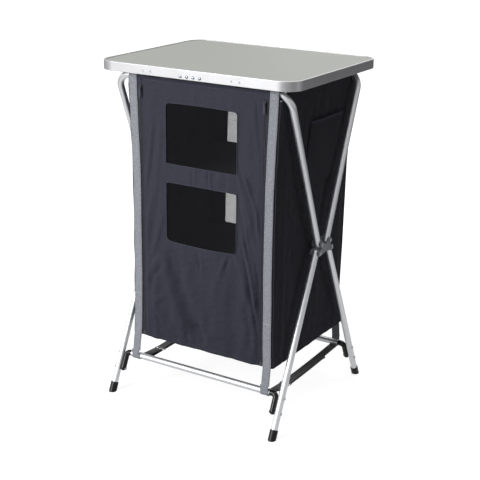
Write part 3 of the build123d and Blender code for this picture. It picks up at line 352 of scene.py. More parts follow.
# The finishes of the solids kept from the frame, by how their names end
HARD = {
    "table_board": LAMINATE, "edge_band": BAND, "splice_plate": BAND, "rivets": RIVET, "hub_pins": RIVET,
    "upper_frame": TUBE, "leg": TUBE, "rail": RAIL, "strap_rings": RING, "zip_slider": ZIP_METAL,
    "clip": BLACK_PLASTIC, "connector": BLACK_PLASTIC, "foot_cap": RUBBER,
    "outer_plate": HUB, "inner_plate": HUB,
}
for name, obj in nodes.items():
    for ending, finish in HARD.items():
        if name.endswith(ending):
            if not obj.data.materials:
                obj.data.materials.append(finish)
            for i in range(len(obj.data.materials)):
                obj.data.materials[i] = finish


# Mesh building
def xyz(x, y, z):
    """Places with these coordinates, each of them one number or an array."""
    return np.stack(np.broadcast_arrays(x, y, z), axis=-1)


def piece(name, points, faces, material, body, stands_for=(), slot=None, uv=None, sharp=35, group=None):
    """A piece from points in millimetres, riding on a body, with its material. Its slot argument is not used.
    """
    mesh = bpy.data.meshes.new(name)
    mesh.from_pydata((np.asarray(points, float).reshape(-1, 3) * MM).tolist(), [], faces)
    if uv is not None:
        layer = mesh.uv_layers.new(name="UVMap")
        corner = np.empty(len(mesh.loops), dtype=np.int32)
        mesh.loops.foreach_get("vertex_index", corner)
        layer.data.foreach_set("uv", (np.asarray(uv, float)[corner] * MM).ravel())
    mesh.polygons.foreach_set("use_smooth", [True] * len(mesh.polygons))
    mesh.set_sharp_from_angle(angle=math.radians(sharp))
    mesh.materials.append(material)
    made = bpy.data.objects.new(name, mesh)
    bpy.context.scene.collection.objects.link(made)
    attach(made, body)
    if stands_for:
        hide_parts(*stands_for)
    if group is not None:
        group.append(made)
    return made


def grid_normals(P):
    """The unit normals of a grid of points."""
    n = np.cross(np.gradient(P, axis=0), np.gradient(P, axis=1))
    return n / np.maximum(np.linalg.norm(n, axis=2, keepdims=True), 1e-9)


def shell(name, P, thickness, material, body, keep=None, **facts):
    """A sheet with thickness, over all cells of its grid or those marked in keep.

    P is its outer face as a grid of points, and it grows to the other side of its normal."""
    nu, nv = P.shape[:2]
    inner = P - grid_normals(P) * thickness
    count = nu * nv
    faces = []
    for i in range(nu - 1):
        for j in range(nv - 1):
            if keep is None or keep[i, j]:
                a = i * nv + j
                faces.append((a, a + nv, a + nv + 1, a + 1))
    edges = {(f[k], f[(k + 1) % 4]) for f in faces for k in range(4)}
    rim = [(b, a, a + count, b + count) for a, b in edges if (b, a) not in edges]
    back = [tuple(v + count for v in reversed(f)) for f in faces]
    used = np.unique(np.array(faces + back).ravel())
    place = np.full(2 * count, -1)
    place[used] = np.arange(len(used))
    points = np.concatenate([P.reshape(-1, 3), inner.reshape(-1, 3)])[used]
    faces = [tuple(int(place[v]) for v in f) for f in faces + back + sorted(rim)]
    return piece(name, points, faces, material, body, **facts)


def ring_sweep(name, rings, material, body, closed=False, **facts):
    """Faces between rings of points, with ends closed unless the sweep is a loop."""
    rings = np.asarray(rings, float)
    n, m = rings.shape[:2]
    faces = []
    for i in range(n if closed else n - 1):
        for j in range(m):
            a, b = i * m + j, i * m + (j + 1) % m
            c, d = ((i + 1) % n) * m + (j + 1) % m, ((i + 1) % n) * m + j
            faces.append((a, b, c, d))
    if not closed:
        faces.append(tuple(range(m - 1, -1, -1)))
        faces.append(tuple((n - 1) * m + j for j in range(m)))
    return piece(name, rings.reshape(-1, 3), faces, material, body, **facts)


def tangents(path, closed=False):
    if closed:
        t = np.roll(path, -1, axis=0) - np.roll(path, 1, axis=0)
    else:
        t = np.gradient(path, axis=0)
    return t / np.linalg.norm(t, axis=1, keepdims=True)


def distances(path):
    """How far along a path each of its points lies."""
    return np.r_[0, np.cumsum(np.linalg.norm(np.diff(path, axis=0), axis=1))]


def cord_tube(name, path, radius, material, body, closed=False, sides=8, **facts):
    """A round welt along a path."""
    path = np.asarray(path, float)
    t = tangents(path, closed)
    guide = (0.31, -0.17, 0.93) if abs(t[0][2]) < 0.7 else (0.97, 0.12, 0.05)
    a = np.cross(t, np.array(guide))
    a /= np.linalg.norm(a, axis=1, keepdims=True)
    b = np.cross(t, a)
    angles = np.linspace(0, 2 * math.pi, sides, endpoint=False)[None, :, None]
    rings = path[:, None] + radius * (np.cos(angles) * a[:, None] + np.sin(angles) * b[:, None])
    return ring_sweep(name, rings, material, body, closed=closed, **facts)


def webbing(name, path, material, body, width=STRAP, thick=1.5, across=(1, 0, 0), wander=0.0, **facts):
    """A flat strap whose middle follows path, with rounded edges and a map along and across it."""
    path = np.asarray(path, float)
    steps = distances(path)
    t = tangents(path)
    across = np.broadcast_to(np.asarray(across, float), path.shape)
    side = across - (across * t).sum(1, keepdims=True) * t
    side /= np.linalg.norm(side, axis=1, keepdims=True)
    up = np.cross(t, side)
    half, deep = width / 2, thick / 2
    flat = np.linspace(-1, 1, 9) * (half - deep * 0.6)
    profile = [(u, deep) for u in flat] + [(half, 0.0)] + [(u, -deep) for u in flat[::-1]] + [(-half, 0.0)]
    profile = np.array(profile)
    drift = wander * np.sin(steps / 47.0 + 0.7) + wander * 0.5 * np.sin(steps / 19.0)
    sideways = side[:, None] * (profile[None, :, 0:1] + drift[:, None, None])
    rings = path[:, None] + sideways + up[:, None] * profile[None, :, 1:2]
    uv = np.stack(np.broadcast_arrays(steps[:, None], profile[None, :, 0] + half), axis=2).reshape(-1, 2)
    return ring_sweep(name, rings, material, body, uv=uv, sharp=60, **facts)


def bars(name, spots, material, body, **facts):
    """Many small bars in one piece, each from its middle and its half length, width and height vectors."""
    points, faces = [], []
    for middle, along, wide, high in spots:
        base = len(points)
        for share, size in ((-1, 0.45), (-0.6, 1), (0.6, 1), (1, 0.45)):
            for s, h in ((-1, -1), (1, -1), (0.8, 0.8), (-0.8, 0.8)):
                points.append(middle + along * share + wide * s * size + high * h * size)
        faces.append((base + 3, base + 2, base + 1, base))
        faces.append((base + 12, base + 13, base + 14, base + 15))
        for ring in range(3):
            for k in range(4):
                a, b = base + ring * 4 + k, base + ring * 4 + (k + 1) % 4
                faces.append((a, b, b + 4, a + 4))
    return piece(name, points, faces, material, body, **facts)


def stitches(name, path, out, material, body, pitch=4.2, long=2.9, wide=0.34, high=0.3, **facts):
    """A row of stitches along a path, standing on the side that out points to."""
    path = np.asarray(path, float)
    steps = distances(path)
    out = np.asarray(out, float)

    def at(s):
        return np.array([np.interp(s, steps, path[:, k]) for k in range(3)])

    spots = []
    for s in np.arange(pitch / 2, steps[-1], pitch):
        along = at(min(s + 0.5, steps[-1])) - at(s - 0.5)
        along = along / max(np.linalg.norm(along), 1e-9)
        spots.append((at(s), along * long / 2, np.cross(along, out) * wide, out * high))
    return bars(name, spots, material, body, **facts)


class Window:
    """A window: its middle's height, half sizes, corner radii and the bow of its top and foot edges.

    The radii are the left foot's, right foot's, left top's and right top's."""

    def __init__(self, centre, half, high, radii, bow=(0.0, 0.0)):
        self.centre, self.half, self.high = centre, half, high
        self.radii, self.bow = radii, bow

    def bowed(self, u, z):
        """How far the bow lifts the edge above or below the middle, u being the share of the half width."""
        return np.where(z > 0, self.bow[0], -self.bow[1]) * (1 - u**2)

    def outside(self, x, z):
        """How far a place on the panel lies outside the window: below 0 inside it."""
        x, z = x - SHIFT, z - self.centre
        z = z - self.bowed(np.clip(x / self.half, -1, 1), z)
        foot = np.where(x < 0, self.radii[0], self.radii[1])
        r = np.where(z < 0, foot, np.where(x < 0, self.radii[2], self.radii[3]))
        qx, qz = np.abs(x) - self.half + r, np.abs(z) - self.high + r
        return np.minimum(np.maximum(qx, qz), 0) + np.hypot(np.maximum(qx, 0), np.maximum(qz, 0)) - r

    def path(self, grow, rounder=0.0, step=3.0):
        """Points round the window at a distance outside its edge, from its right top corner on."""
        half, high = self.half + grow, self.high + grow
        points = []
        for sx, sz, k, start in ((1, 1, 3, 90), (1, -1, 1, 0), (-1, -1, 0, -90), (-1, 1, 2, -180)):
            r = self.radii[k] + rounder
            for a in np.radians(np.linspace(start, start - 90, 9)):
                points.append((sx * (half - r) + r * math.cos(a), sz * (high - r) + r * math.sin(a)))
        points = np.array(points + points[:1])
        steps = distances(points)
        s = np.linspace(0, steps[-1], int(steps[-1] / step), endpoint=False)
        x, z = np.interp(s, steps, points[:, 0]), np.interp(s, steps, points[:, 1])
        return x + SHIFT, z + self.bowed(x / half, z) + self.centre


def cut_window(X, Z, drop, window):
    """Marks the grid cells inside a window and moves the points beside it onto its outline."""
    middle_x = (X[:-1, :-1] + X[1:, :-1] + X[1:, 1:] + X[:-1, 1:]) / 4
    middle_z = (Z[:-1, :-1] + Z[1:, :-1] + Z[1:, 1:] + Z[:-1, 1:]) / 4
    inside = window.outside(middle_x, middle_z) < 0
    drop |= inside
    touch = np.zeros(X.shape, bool)
    stay = np.zeros(X.shape, bool)
    for i in (0, 1):
        for j in (0, 1):
            touch[i : i + inside.shape[0], j : j + inside.shape[1]] |= inside
            stay[i : i + inside.shape[0], j : j + inside.shape[1]] |= ~inside
    edge = touch & stay
    for _ in range(3):
        d = window.outside(X, Z)
        gx = (window.outside(X + 0.05, Z) - window.outside(X - 0.05, Z)) / 0.1
        gz = (window.outside(X, Z + 0.05) - window.outside(X, Z - 0.05)) / 0.1
        scale = np.maximum(gx**2 + gz**2, 1e-6)
        X = np.where(edge, X - d * gx / scale, X)
        Z = np.where(edge, Z - d * gz / scale, Z)
    return X, Z


def trim_window(tag, window, point, out, raised, radius, **facts):
    """Piping on a window's edge and a row of stitches round it, on the panel that point describes."""
    x, z = window.path(0.6)
    cord_tube(tag + "_piping", point(x, z, raised), radius, BINDING, closed=True, **facts)
    x, z = window.path(4.6, rounder=4.0)
    loop = point(np.r_[x, x[:1]], np.r_[z, z[:1]], 0.1)
    stitches(tag + "_stitches", loop, out, THREAD, **facts)


def crease(x, z, points, width, height, fade=0.22):
    """A soft ridge, or a valley if height is below 0, along a path on a panel. It fades out at its ends."""
    points = np.asarray(points, float)
    starts = distances(points)
    nearest, share = 1e9, 0.0
    for (x0, z0), (x1, z1), start, end in zip(points, points[1:], starts, starts[1:]):
        span = end - start
        t = np.clip(((x - x0) * (x1 - x0) + (z - z0) * (z1 - z0)) / span**2, 0, 1)
        off = np.hypot(x - x0 - t * (x1 - x0), z - z0 - t * (z1 - z0))
        closer = off < nearest
        nearest = np.where(closer, off, nearest)
        share = np.where(closer, (start + t * span) / starts[-1], share)
    ends = np.clip(np.minimum(share, 1 - share) / fade, 0, 1)
    ends = ends * ends * (3 - 2 * ends)
    return height * np.exp(-((nearest / width) ** 2)) * ends


RIPPLES = [(random.uniform(14, 60), random.uniform(0, math.pi), random.uniform(0, 6.3)) for _ in range(9)]


def ripple(a, b, strength):
    """Small uneven waves of handled cloth."""
    height = 0
    for long, turn, start in RIPPLES:
        run = (a * math.cos(turn) + b * math.sin(turn)) * 2 * math.pi / long
        height = height + long * strength * np.sin(run + start + 0.9 * np.sin(run * 0.37 + start * 2))
    return height


# The door
LOWER_RADII = (14, 8, 6, 6)
FRONT_WINDOWS = {
    "upper": Window(771.0, WINDOW_HALF, WINDOW_HALF_HEIGHT, (5, 8, 10, 9), (2.5, 0.0)),
    "lower": Window(557.5, WINDOW_HALF, WINDOW_HALF_HEIGHT, LOWER_RADII, (1.0, 4.0)),
}
HELD = [Window(shown.centre, shown.half, shown.high, LOWER_RADII) for shown in FRONT_WINDOWS.values()]
DOOR_STAND = ([180, 250, 370, 476.5, 904], [4.0, 8.0, 8.0, 1.8, 1.0])
DOOR_RIPPLE = ([180, 470, 904], [0.010, 0.008, 0.006])
DOOR_HEAD = 872.0
DOOR_MOST = 12.5
DOOR_CREASES = [
    ([(-86, 466), (-67, 408), (-46, 350), (-26, 283), (2, 226), (16, 190)], 22, -8.2),
    ([(-60, 440), (-34, 372), (-6, 302), (22, 243), (40, 196)], 18, 1.2),
    ([(-2, 262), (12, 228), (26, 192)], 9, -3.2), ([(14, 330), (26, 260), (46, 196)], 16, 2.6),
    ([(-114, 458), (-101, 398), (-84, 340), (-62, 275), (-44, 205)], 19, 5.2),
    ([(-97, 420), (-136, 369), (-161, 305)], 8, -2.4), ([(-110, 442), (-150, 382), (-172, 330)], 9, 2.4),
    ([(-84, 330), (-128, 300), (-160, 262)], 12, 2.0), ([(-160, 300), (-130, 252), (-112, 196)], 8, -2.0),
    ([(-152, 240), (-118, 203)], 7, -1.8), ([(-32, 228), (-27, 187)], 6, -1.8),
    ([(-14, 226), (-8, 187)], 7, 1.2), ([(-4, 462), (4, 440), (12, 410)], 4, -2.2),
    ([(7, 462), (16, 436), (24, 400)], 6, 1.8), ([(102, 468), (96, 448), (88, 418)], 5, -2.2),
    ([(90, 462), (82, 436), (72, 400)], 8, 1.8),
    ([(120, 548), (138, 504), (163, 407), (184, 312), (194, 246)], 5, -3.6),
    ([(132, 540), (152, 496), (176, 402), (193, 316)], 6, 3.0),
    ([(112, 500), (140, 430), (164, 350)], 8, 2.0),
    ([(150, 560), (175, 488), (193, 413), (197, 367)], 4, -2.6),
    ([(150, 360), (170, 280), (176, 200)], 9, -2.2),
    ([(124, 722), (132, 700), (148, 664), (173, 604), (184, 512), (188, 440)], 4, -3.4),
    ([(134, 720), (144, 694), (160, 656), (184, 598), (193, 520)], 5, 2.8),
    ([(120, 712), (140, 640), (162, 580), (170, 520)], 6, 1.8),
    ([(126, 630), (136, 590), (150, 520), (166, 450)], 4, -2.4),
    ([(136, 624), (146, 586), (160, 520)], 5, 1.8),
    ([(176, 896), (181, 860), (189, 800), (194, 740)], 4, -1.7),
    ([(170, 880), (174, 820), (182, 750)], 6, 1.2), ([(158, 690), (170, 672), (180, 664)], 8, -1.6),
    ([(-27, 909), (-22, 890), (-15, 862)], 4, -1.5), ([(-20, 908), (-13, 888), (-7, 862)], 4, 1.0),
    ([(86, 908), (92, 890), (100, 868)], 4, -1.4), ([(94, 908), (100, 890), (110, 866)], 5, 1.0),
    ([(-94, 896), (-84, 884), (-70, 866)], 4, -1.2), ([(20, 908), (22, 890), (20, 866)], 5, 0.9),
    ([(-16, 692), (-17, 664), (-15, 636)], 4, -1.3), ([(-6, 692), (-7, 664), (-6, 636)], 4, 0.8),
    ([(34, 696), (33, 666), (36, 632)], 3.2, -1.8), ([(42, 694), (41, 666), (44, 634)], 3.6, 1.4),
    ([(-116, 867), (-107, 864), (-98, 867)], 2.6, -1.6), ([(-69, 873), (-60, 871), (-50, 872)], 2.6, -1.5),
    ([(-70, 692), (-68, 640)], 5, 0.7), ([(88, 690), (86, 640)], 5, -0.8),
    ([(-124, 830), (-136, 740), (-152, 640), (-164, 540)], 6, -1.6),
    ([(-112, 800), (-122, 700), (-140, 600)], 7, 1.2), ([(-140, 840), (-150, 720), (-168, 600)], 7, 1.3),
    ([(-170, 860), (-171, 760), (-168, 660)], 5, -1.2), ([(-118, 640), (-134, 540), (-160, 420)], 7, -1.8),
    ([(-106, 560), (-122, 500), (-146, 420)], 7, 1.6), ([(-140, 620), (-156, 540), (-172, 440)], 6, 1.3),
]


def door_relief(x, z):
    """How far the door's cloth stands out of its plane.

    It is held at the windows, the side edges and the head, and hangs free below the windows."""
    u = (x - SHIFT + DOOR_HALF) / (2 * DOOR_HALF)
    from_middle = np.abs(x - SHIFT)
    folds = 1 + 0.3 * np.sin(7 * math.pi * u + 0.5 * np.sin(z / 63.0))
    edge = np.clip(np.minimum(u, 1 - u) * 9, 0, 1)
    relief = np.interp(z, *DOOR_STAND) * folds * (0.3 + 0.7 * edge)
    relief = relief + ripple(x, z, 1.0) * np.interp(z, *DOOR_RIPPLE)
    for points, width, height in DOOR_CREASES:
        relief = relief + crease(x, z, points, 0.92 * width, 1.3 * height)
    for window in HELD:
        hold = np.clip(1 - window.outside(x, z) / 12.0, 0, 1) ** 2
        relief = relief * (1 - 0.7 * hold) + 0.9 * hold
    relief = relief * np.clip((DOOR_HALF - 1 - from_middle) / 12, 0.1, 1)
    top = np.clip((z - DOOR_HEAD) / 22, 0, 1)
    relief = relief * (1 - top) + (0.16 + 0.12 * np.sin(x / 9.0)) * top
    free = np.clip(np.minimum(z - 198, 394 - z) / 30, 0, 1) * np.clip((165 - from_middle) / 20, 0, 1)
    return np.clip(relief, 0.05 - 8 * free, DOOR_MOST)


def door_point(x, z, out=0.0):
    """A point on the door's outer face, raised by out."""
    return xyz(x, FRONT - door_relief(x, z) - out, z)


xs = np.linspace(SHIFT - DOOR_HALF, SHIFT + DOOR_HALF, 135)
zs = np.linspace(BOTTOM, DOOR_TOP + 0.8, 262)
X, Z = np.meshgrid(xs, zs, indexing="ij")
drop = np.zeros((len(xs) - 1, len(zs) - 1), bool)
for window in FRONT_WINDOWS.values():
    X, Z = cut_window(X, Z, drop, window)
door_cloth = shell("door_cloth", door_point(X, Z), CLOTH, CLOTH_WALL, "door", keep=~drop,
                   stands_for=["front_door"])

door_parts = []
on_door = {"body": "door", "group": door_parts}
for key, window in FRONT_WINDOWS.items():
    trim_window(f"door_{key}", window, door_point, (0, -1, 0), 0.5, 1.35, **on_door)
x = np.linspace(SHIFT - DOOR_HALF + 2, SHIFT + DOOR_HALF - 2, 130)
z = np.linspace(BOTTOM + 3, DOOR_TOP - 6, 240)
cord_tube("door_top_piping", xyz(x, -203.4, 905.0), 0.98, BINDING, **on_door)
rows = {"hem": (x, HEM_ROW), "head": (x, DOOR_HEAD - 0.5)}
rows |= {f"{side}_edge": (SHIFT + sign * (DOOR_HALF - 5), z) for side, sign in SIDES}
for tag, row in rows.items():
    stitches(f"door_{tag}_stitches", door_point(*row, 0.1), (0, -1, 0), THREAD, **on_door)
cord_tube("door_hem_roll", door_point(xs, BOTTOM + 1.1, -0.4), 1.05, CLOTH_WALL, **on_door)


# Window nets
def net(name, window, grow, radius, depth_at, node, pitch=1.25, strand=0.35, thick=0.2, runs=1, **facts):
    """A net of crossed flat strands that reaches past its window by grow, in half width and half height."""
    points, faces = [], []
    half, high = window.half + grow[0], window.high + grow[1]

    def strand_between(line, wide):
        base = len(points)
        for p in line:
            for s, h in ((-1, 0), (0, -1), (1, 0), (0, 1)):
                points.append(p + wide * s + np.array([0, thick / 2 * h, 0]))
        for i in range(len(line) - 1):
            for k in range(4):
                a, b = base + i * 4 + k, base + i * 4 + (k + 1) % 4
                faces.append((a, b, b + 4, a + 4))

    def reach(offset, span, other):
        inset = max(abs(offset) - (span - radius), 0)
        return other - radius + math.sqrt(max(radius**2 - inset**2, 0))

    for x in np.arange(-half + pitch / 2, half, pitch):
        top = reach(x, half, high)
        z = np.linspace(-top, top, runs + 1) + window.centre
        strand_between(xyz(SHIFT + x, depth_at(z), z), np.array([strand / 2, 0, 0]))
    for z in np.arange(-high + pitch / 2, high, pitch):
        x = np.array([-1, 1]) * reach(z, high, half) + SHIFT
        z = z + window.centre
        strand_between(xyz(x, depth_at(z) + thick * 0.45, z), np.array([0, 0, strand / 2]))
    return piece(name, points, faces, NET, stands_for=[node], **facts)


for key, window in FRONT_WINDOWS.items():
    net(f"door_{key}_net", window, (1.5, 3.0), 8.0, lambda z: FRONT - 0.2, f"front_{key}_window", **on_door)

# Side panels
SIDE_CREASES = [
    ([(-170, 900), (-150, 840), (-105, 700), (-92, 600)], 8, -1.8),
    ([(-60, 900), (-70, 800), (-50, 690)], 9, 1.3), ([(20, 900), (10, 860), (-8, 820)], 6, -1.0),
    ([(80, 900), (86, 850), (70, 800)], 6, 1.0), ([(150, 900), (140, 830), (120, 700)], 8, 1.3),
    ([(100, 690), (60, 610), (40, 540)], 8, -1.5), ([(-150, 640), (-110, 560), (-100, 480)], 9, 1.3),
    ([(-10, 640), (10, 560), (0, 470)], 9, -1.2), ([(-120, 500), (-108, 450), (-112, 410)], 6, -1.0),
    ([(90, 400), (96, 330), (98, 260)], 9, -1.8), ([(-20, 360), (-40, 300), (-50, 220)], 10, 1.4),
    ([(40, 400), (20, 320), (34, 220)], 10, 1.5), ([(-140, 400), (-150, 300), (-130, 210)], 9, -1.3),
    ([(140, 420), (150, 330), (164, 240)], 8, 1.5), ([(-184, 820), (-186, 700), (-180, 600)], 4, 0.9),
    ([(-188, 560), (-186, 480), (-190, 400)], 4, 0.9), ([(60, 240), (80, 215), (100, 190)], 5, -1.2),
    ([(110, 250), (125, 220), (135, 192)], 5, 1.2), ([(-100, 230), (-90, 205), (-86, 186)], 5, -1.0),
]


def side_point(y, z, sign, out=0.0):
    """A point on a side panel's outer face."""
    fold = fold_at(z)
    u = np.clip((y - FRONT) / (back_at(z) - FRONT), 0, 1)
    pinned = np.clip(np.minimum(u, 1 - u) * 10, 0, 1)
    relief = fold * pinned * (0.9 + 0.8 * np.sin(5 * math.pi * u + 0.5 * np.sin(z / 70.0)))
    relief = relief + pinned * ripple(y, z, 0.008)
    for points, width, height in SIDE_CREASES:
        relief = relief + pinned * crease(y, z, points, width, height)
    for seam in SHELF_SEAMS.values():
        relief = relief - 0.9 * pinned * np.exp(-(((z - seam) / 4.0) ** 2))
    relief = np.clip(relief, -0.6, 1.8 * fold + 1.8)
    front = np.clip((y - FRONT) / CORNER_Y, 0, 1)
    turn = CORNER_X * (1 - np.sqrt(1 - (1 - front) ** 2))
    return xyz(SHIFT + sign * (half_at(z) - turn + relief + out), y, z)


def head_share(z):
    return np.clip((z - HEAD_FOOT) / (TOP - HEAD_FOOT), 0, 1)


def head_rise(y, z):
    """How far a side panel's head stands above the rest between the two tubes."""
    step = np.clip((HEAD_REACH - np.abs(y)) / 2.5, 0, 1)
    return HEAD_RISE * step * step * (3 - 2 * step) * head_share(z)


def corner(x, y, z):
    """A point of the front corner, whose head rises in front of the tube and clear of the sleeve's end."""
    clear = np.clip((np.abs(x) - SLEEVE_END) / 3.0, 0, 1) * np.clip((FRONT + 3.0 - y) / 1.5, 0, 1)
    return xyz(x, y, z + CORNER_RISE * head_share(z) * clear)


def side_panel(side, sign):
    """A side with its rounded front corner and the strip beside the door."""
    zs = np.linspace(BOTTOM, TOP, 220)
    half, back = half_at(zs), back_at(zs)
    columns = []
    for share in np.linspace(0, 1, 130):
        y = back + share * (FRONT + CORNER_Y - back)
        column = side_point(y, zs, sign)
        column[:, 2] += head_rise(y, zs)
        columns.append(column)
    for a in np.radians(np.linspace(0, 90, 13)[1:]):
        x = SHIFT + sign * (half - CORNER_X + CORNER_X * math.cos(a))
        columns.append(corner(x, FRONT + CORNER_Y - CORNER_Y * math.sin(a), zs))
    for share in np.linspace(0, 1, 14)[1:]:
        x = SHIFT + sign * ((half - CORNER_X) * (1 - share) + STRIP_EDGE * share)
        y = FRONT - 0.15 * math.sin(math.pi * share) * (1 + 0.6 * np.sin(zs / 43.0))
        columns.append(corner(x, y, zs))
    P = np.stack(columns[::-sign], axis=0)
    return shell(f"{side}_side_cloth", P, CLOTH, CLOTH_SIDE, BAG, stands_for=[f"{side}_side_panel"], sharp=50)


def side_trim(side, sign):
    """A side's seams, its rolled hem and the rows of stitches along them and along the shelves."""
    trim = []
    here = {"body": BAG, "group": trim}

    def row(tag, y, z):
        stitches(f"{side}_{tag}_stitches", side_point(y, z, sign, 0.05), (sign, 0, 0), THREAD, **here)

    z = np.linspace(BOTTOM + 1, TOP - 1, 200)
    rear_seam = xyz(SHIFT + sign * (half_at(z) - 0.2), back_at(z) - 0.2, z)
    cord_tube(f"{side}_rear_seam", rear_seam, SEAM_CORD, CLOTH_SIDE, **here)
    wavy = 0.7 + 0.8 * np.sin(z / 23.0 + np.sin(z / 61.0))
    cord_tube(f"{side}_front_seam", side_point(FRONT + 3.0, z, sign, wavy), SEAM_CORD, CLOTH_SIDE, **here)
    row("front_seam", FRONT + 13.0, z)
    y = np.linspace(FRONT + 6, back_at(BOTTOM) - 2, 120)
    row("hem", y, HEM_ROW)
    cord_tube(f"{side}_hem_roll", side_point(y, BOTTOM + 1.2, sign, -0.3), 1.1, CLOTH_SIDE, **here)
    for key, height in SHELF_SEAMS.items():
        row(key + "_shelf", np.linspace(FRONT + 8, back_at(height) - 3, 120), height)
    return trim


bag_pieces = []
in_bag = {"body": BAG, "group": bag_pieces}
for side, sign in SIDES:
    panel = side_panel(side, sign)
    trim = side_trim(side, sign)
    bag_pieces += [panel] + trim

# Back panel
REAR_WINDOWS = {
    "upper": Window(748.0, REAR_WINDOW_HALF, REAR_HALF_HEIGHT, (5, 5, 5, 5)),
    "lower": Window(500.0, REAR_WINDOW_HALF, REAR_HALF_HEIGHT, (5, 5, 5, 5)),
}


def back_relief(x, z):
    """How far the back's cloth stands out. It is calm at the windows and flat under the straps."""
    relief = 0.5 * np.sin((x - SHIFT) / 31.0 + 0.4 * np.sin(z / 50.0)) + ripple(x, z, 0.008)
    calm = 1.0
    for window in REAR_WINDOWS.values():
        calm = calm * (1 - np.clip(1 - window.outside(x, z) / 20.0, 0, 1))
    beside_strap = np.clip((half_at(z) - 33 - np.abs(x - SHIFT)) / 12, 0, 1)
    return 0.12 + (0.38 + relief * calm) * beside_strap


def back_point(x, z, out=0.0):
    return xyz(x, back_at(z) + back_relief(x, z) + out, z)


share_x = np.linspace(-1, 1, 170)
zs = np.linspace(BOTTOM, TOP, 240)
X, Z = np.meshgrid(share_x, zs, indexing="ij")
X = SHIFT + X * (half_at(Z) - 1.5)
drop = np.zeros((len(share_x) - 1, len(zs) - 1), bool)
for window in REAR_WINDOWS.values():
    X, Z = cut_window(X, Z, drop, window)
back_cloth = shell("back_cloth", back_point(X, Z)[::-1], CLOTH, CLOTH_WALL, BAG, keep=~drop[::-1],
                   stands_for=["back_panel"])
back_parts = []
on_back = {"body": BAG, "group": back_parts}
for key, window in REAR_WINDOWS.items():
    trim_window(f"rear_{key}", window, back_point, (0, 1, 0), 0.4, 1.3, **on_back)
    net(f"rear_{key}_net", window, (2, 2), 5.0, lambda z: back_at(z) - 0.4, f"rear_{key}_window", 0.85, 0.24,
        runs=8, **on_back)
x = np.linspace(SHIFT - 222, SHIFT + 222, 120)
stitches("back_hem_stitches", back_point(x, HEM_ROW, 0.1), (0, 1, 0), THREAD, **on_back)
bag_pieces += [back_cloth] + back_parts


# Shelves and floor
def shelf(node, top, sag):
    """A stiff board in cloth that sags a little in the middle, with a bound edge."""
    half = float(min(half_at(top), half_at(top - 3.0))) - 2.2
    deep = float(min(back_at(top), back_at(top - 3.0))) - 2.2 - SHELF_FRONT
    u = np.linspace(0, 1, 60)
    U, V = np.meshgrid(u, u, indexing="ij")
    x = SHIFT + (2 * U - 1) * half
    y = SHELF_FRONT + V * deep
    dip = sag * 16 * U * (1 - U) * V * (1 - V) + 0.12 * np.sin(x / 19.0) * np.sin(y / 23.0)
    shell(node + "_board", xyz(x, y, top - 0.2 - dip), 2.6, CLOTH_LEVEL, stands_for=[node], **in_bag)
    rim = []
    corners = ((-1, 0), (1, 0), (1, 1), (-1, 1), (-1, 0))
    for (ax, ay), (bx, by) in zip(corners, corners[1:]):
        for t in np.linspace(0, 1, 40, endpoint=False):
            u, v = ax + (bx - ax) * t, ay + (by - ay) * t
            rim.append((SHIFT + u * half, SHELF_FRONT + v * deep, top - 1.5))
    cord_tube(node + "_board_binding", rim, 1.45, CLOTH_SIDE, closed=True, slot="shelf_cloth", **in_bag)


shelf("upper_shelf", 660.0, 1.2)
shelf("lower_shelf", 412.0, 1.6)
shelf("cabinet_floor", 183.0, 0.6)


# Top sleeves
def sleeve(end, sign, over_door):
    """The hem sleeve round a top tube, open above at the two clips, with its skirt in the cloth's plane."""
    name, node = f"{end}_sleeve_cloth", f"{end}_top_sleeve"
    cuts = [-218.2, 219.0]
    for gap in (CLIP_HALF, CLIP_HALF + 0.1):
        cuts += [-CLIP_X - gap, -CLIP_X + gap, CLIP_X - gap, CLIP_X + gap]
    if over_door:
        cuts += [SHIFT + s * (DOOR_HALF + d) for s in (-1, 1) for d in (0.6, 0.8)]
    xs = np.array(sorted(set(cuts) | set(np.linspace(-217, 218, 110).tolist())))
    columns = []
    for x in xs:
        foot = 906.4 if over_door and abs(x - SHIFT) < DOOR_HALF + 0.7 else 893.4
        profile = [(204.0, foot), (204.05, (foot + 908) / 2), (203.9, 908.0), (203.2, 910.5), (202.5, 912.5)]
        for a in np.linspace(6, 312, 34):
            r = SLEEVE_RADIUS + 0.12 * math.sin(x / 13.0 + a / 40.0)
            profile.append((TUBE_Y + r * math.cos(math.radians(a)), TUBE_Z + r * math.sin(math.radians(a))))
        columns.append([(x, sign * p[0], p[1]) for p in profile])
    P = np.array(columns)[::sign]
    middle = (P[:-1, 0, 0] + P[1:, 0, 0]) / 2
    keep = np.ones((len(xs) - 1, P.shape[1] - 1), bool)
    keep[np.abs(np.abs(middle) - CLIP_X) < CLIP_HALF, 6:] = False
    made = shell(name, P, 1.0, CLOTH_WALL, BAG, keep=keep, stands_for=[node], sharp=50)
    row = xyz(np.linspace(-216, 217, 120), sign * 204.1, 909.0 if over_door else 899.0)
    rim = stitches(name + "_stitches", row, (0, sign, 0), THREAD, BAG)


sleeve("front", -1, True)
sleeve("rear", 1, False)


# Side pocket
def pocket_point(y, z, lift):
    """A point of the pocket: close to the panel at its sides and foot, and standing off at its mouth."""
    y0, y1, z0, z1 = POCKET
    u = (y - y0) / (y1 - y0)
    v = (z - z0) / (z1 - z0)
    y = y + (1 - u) * 24.0 * (v - 0.62)
    across = np.sin(math.pi * np.clip(u, 0, 1))
    gape = across**0.6 * np.clip(v, 0, 1) ** 1.2 * (4.6 + 1.2 * np.sin(9.0 * u))
    bulge = 2.0 * across * np.sin(math.pi * np.clip(v, 0, 1))
    crest = half_at(z) + 1.8 * fold_at(z)
    return xyz(SHIFT + crest + 0.9 + gape + bulge + lift, y, z)


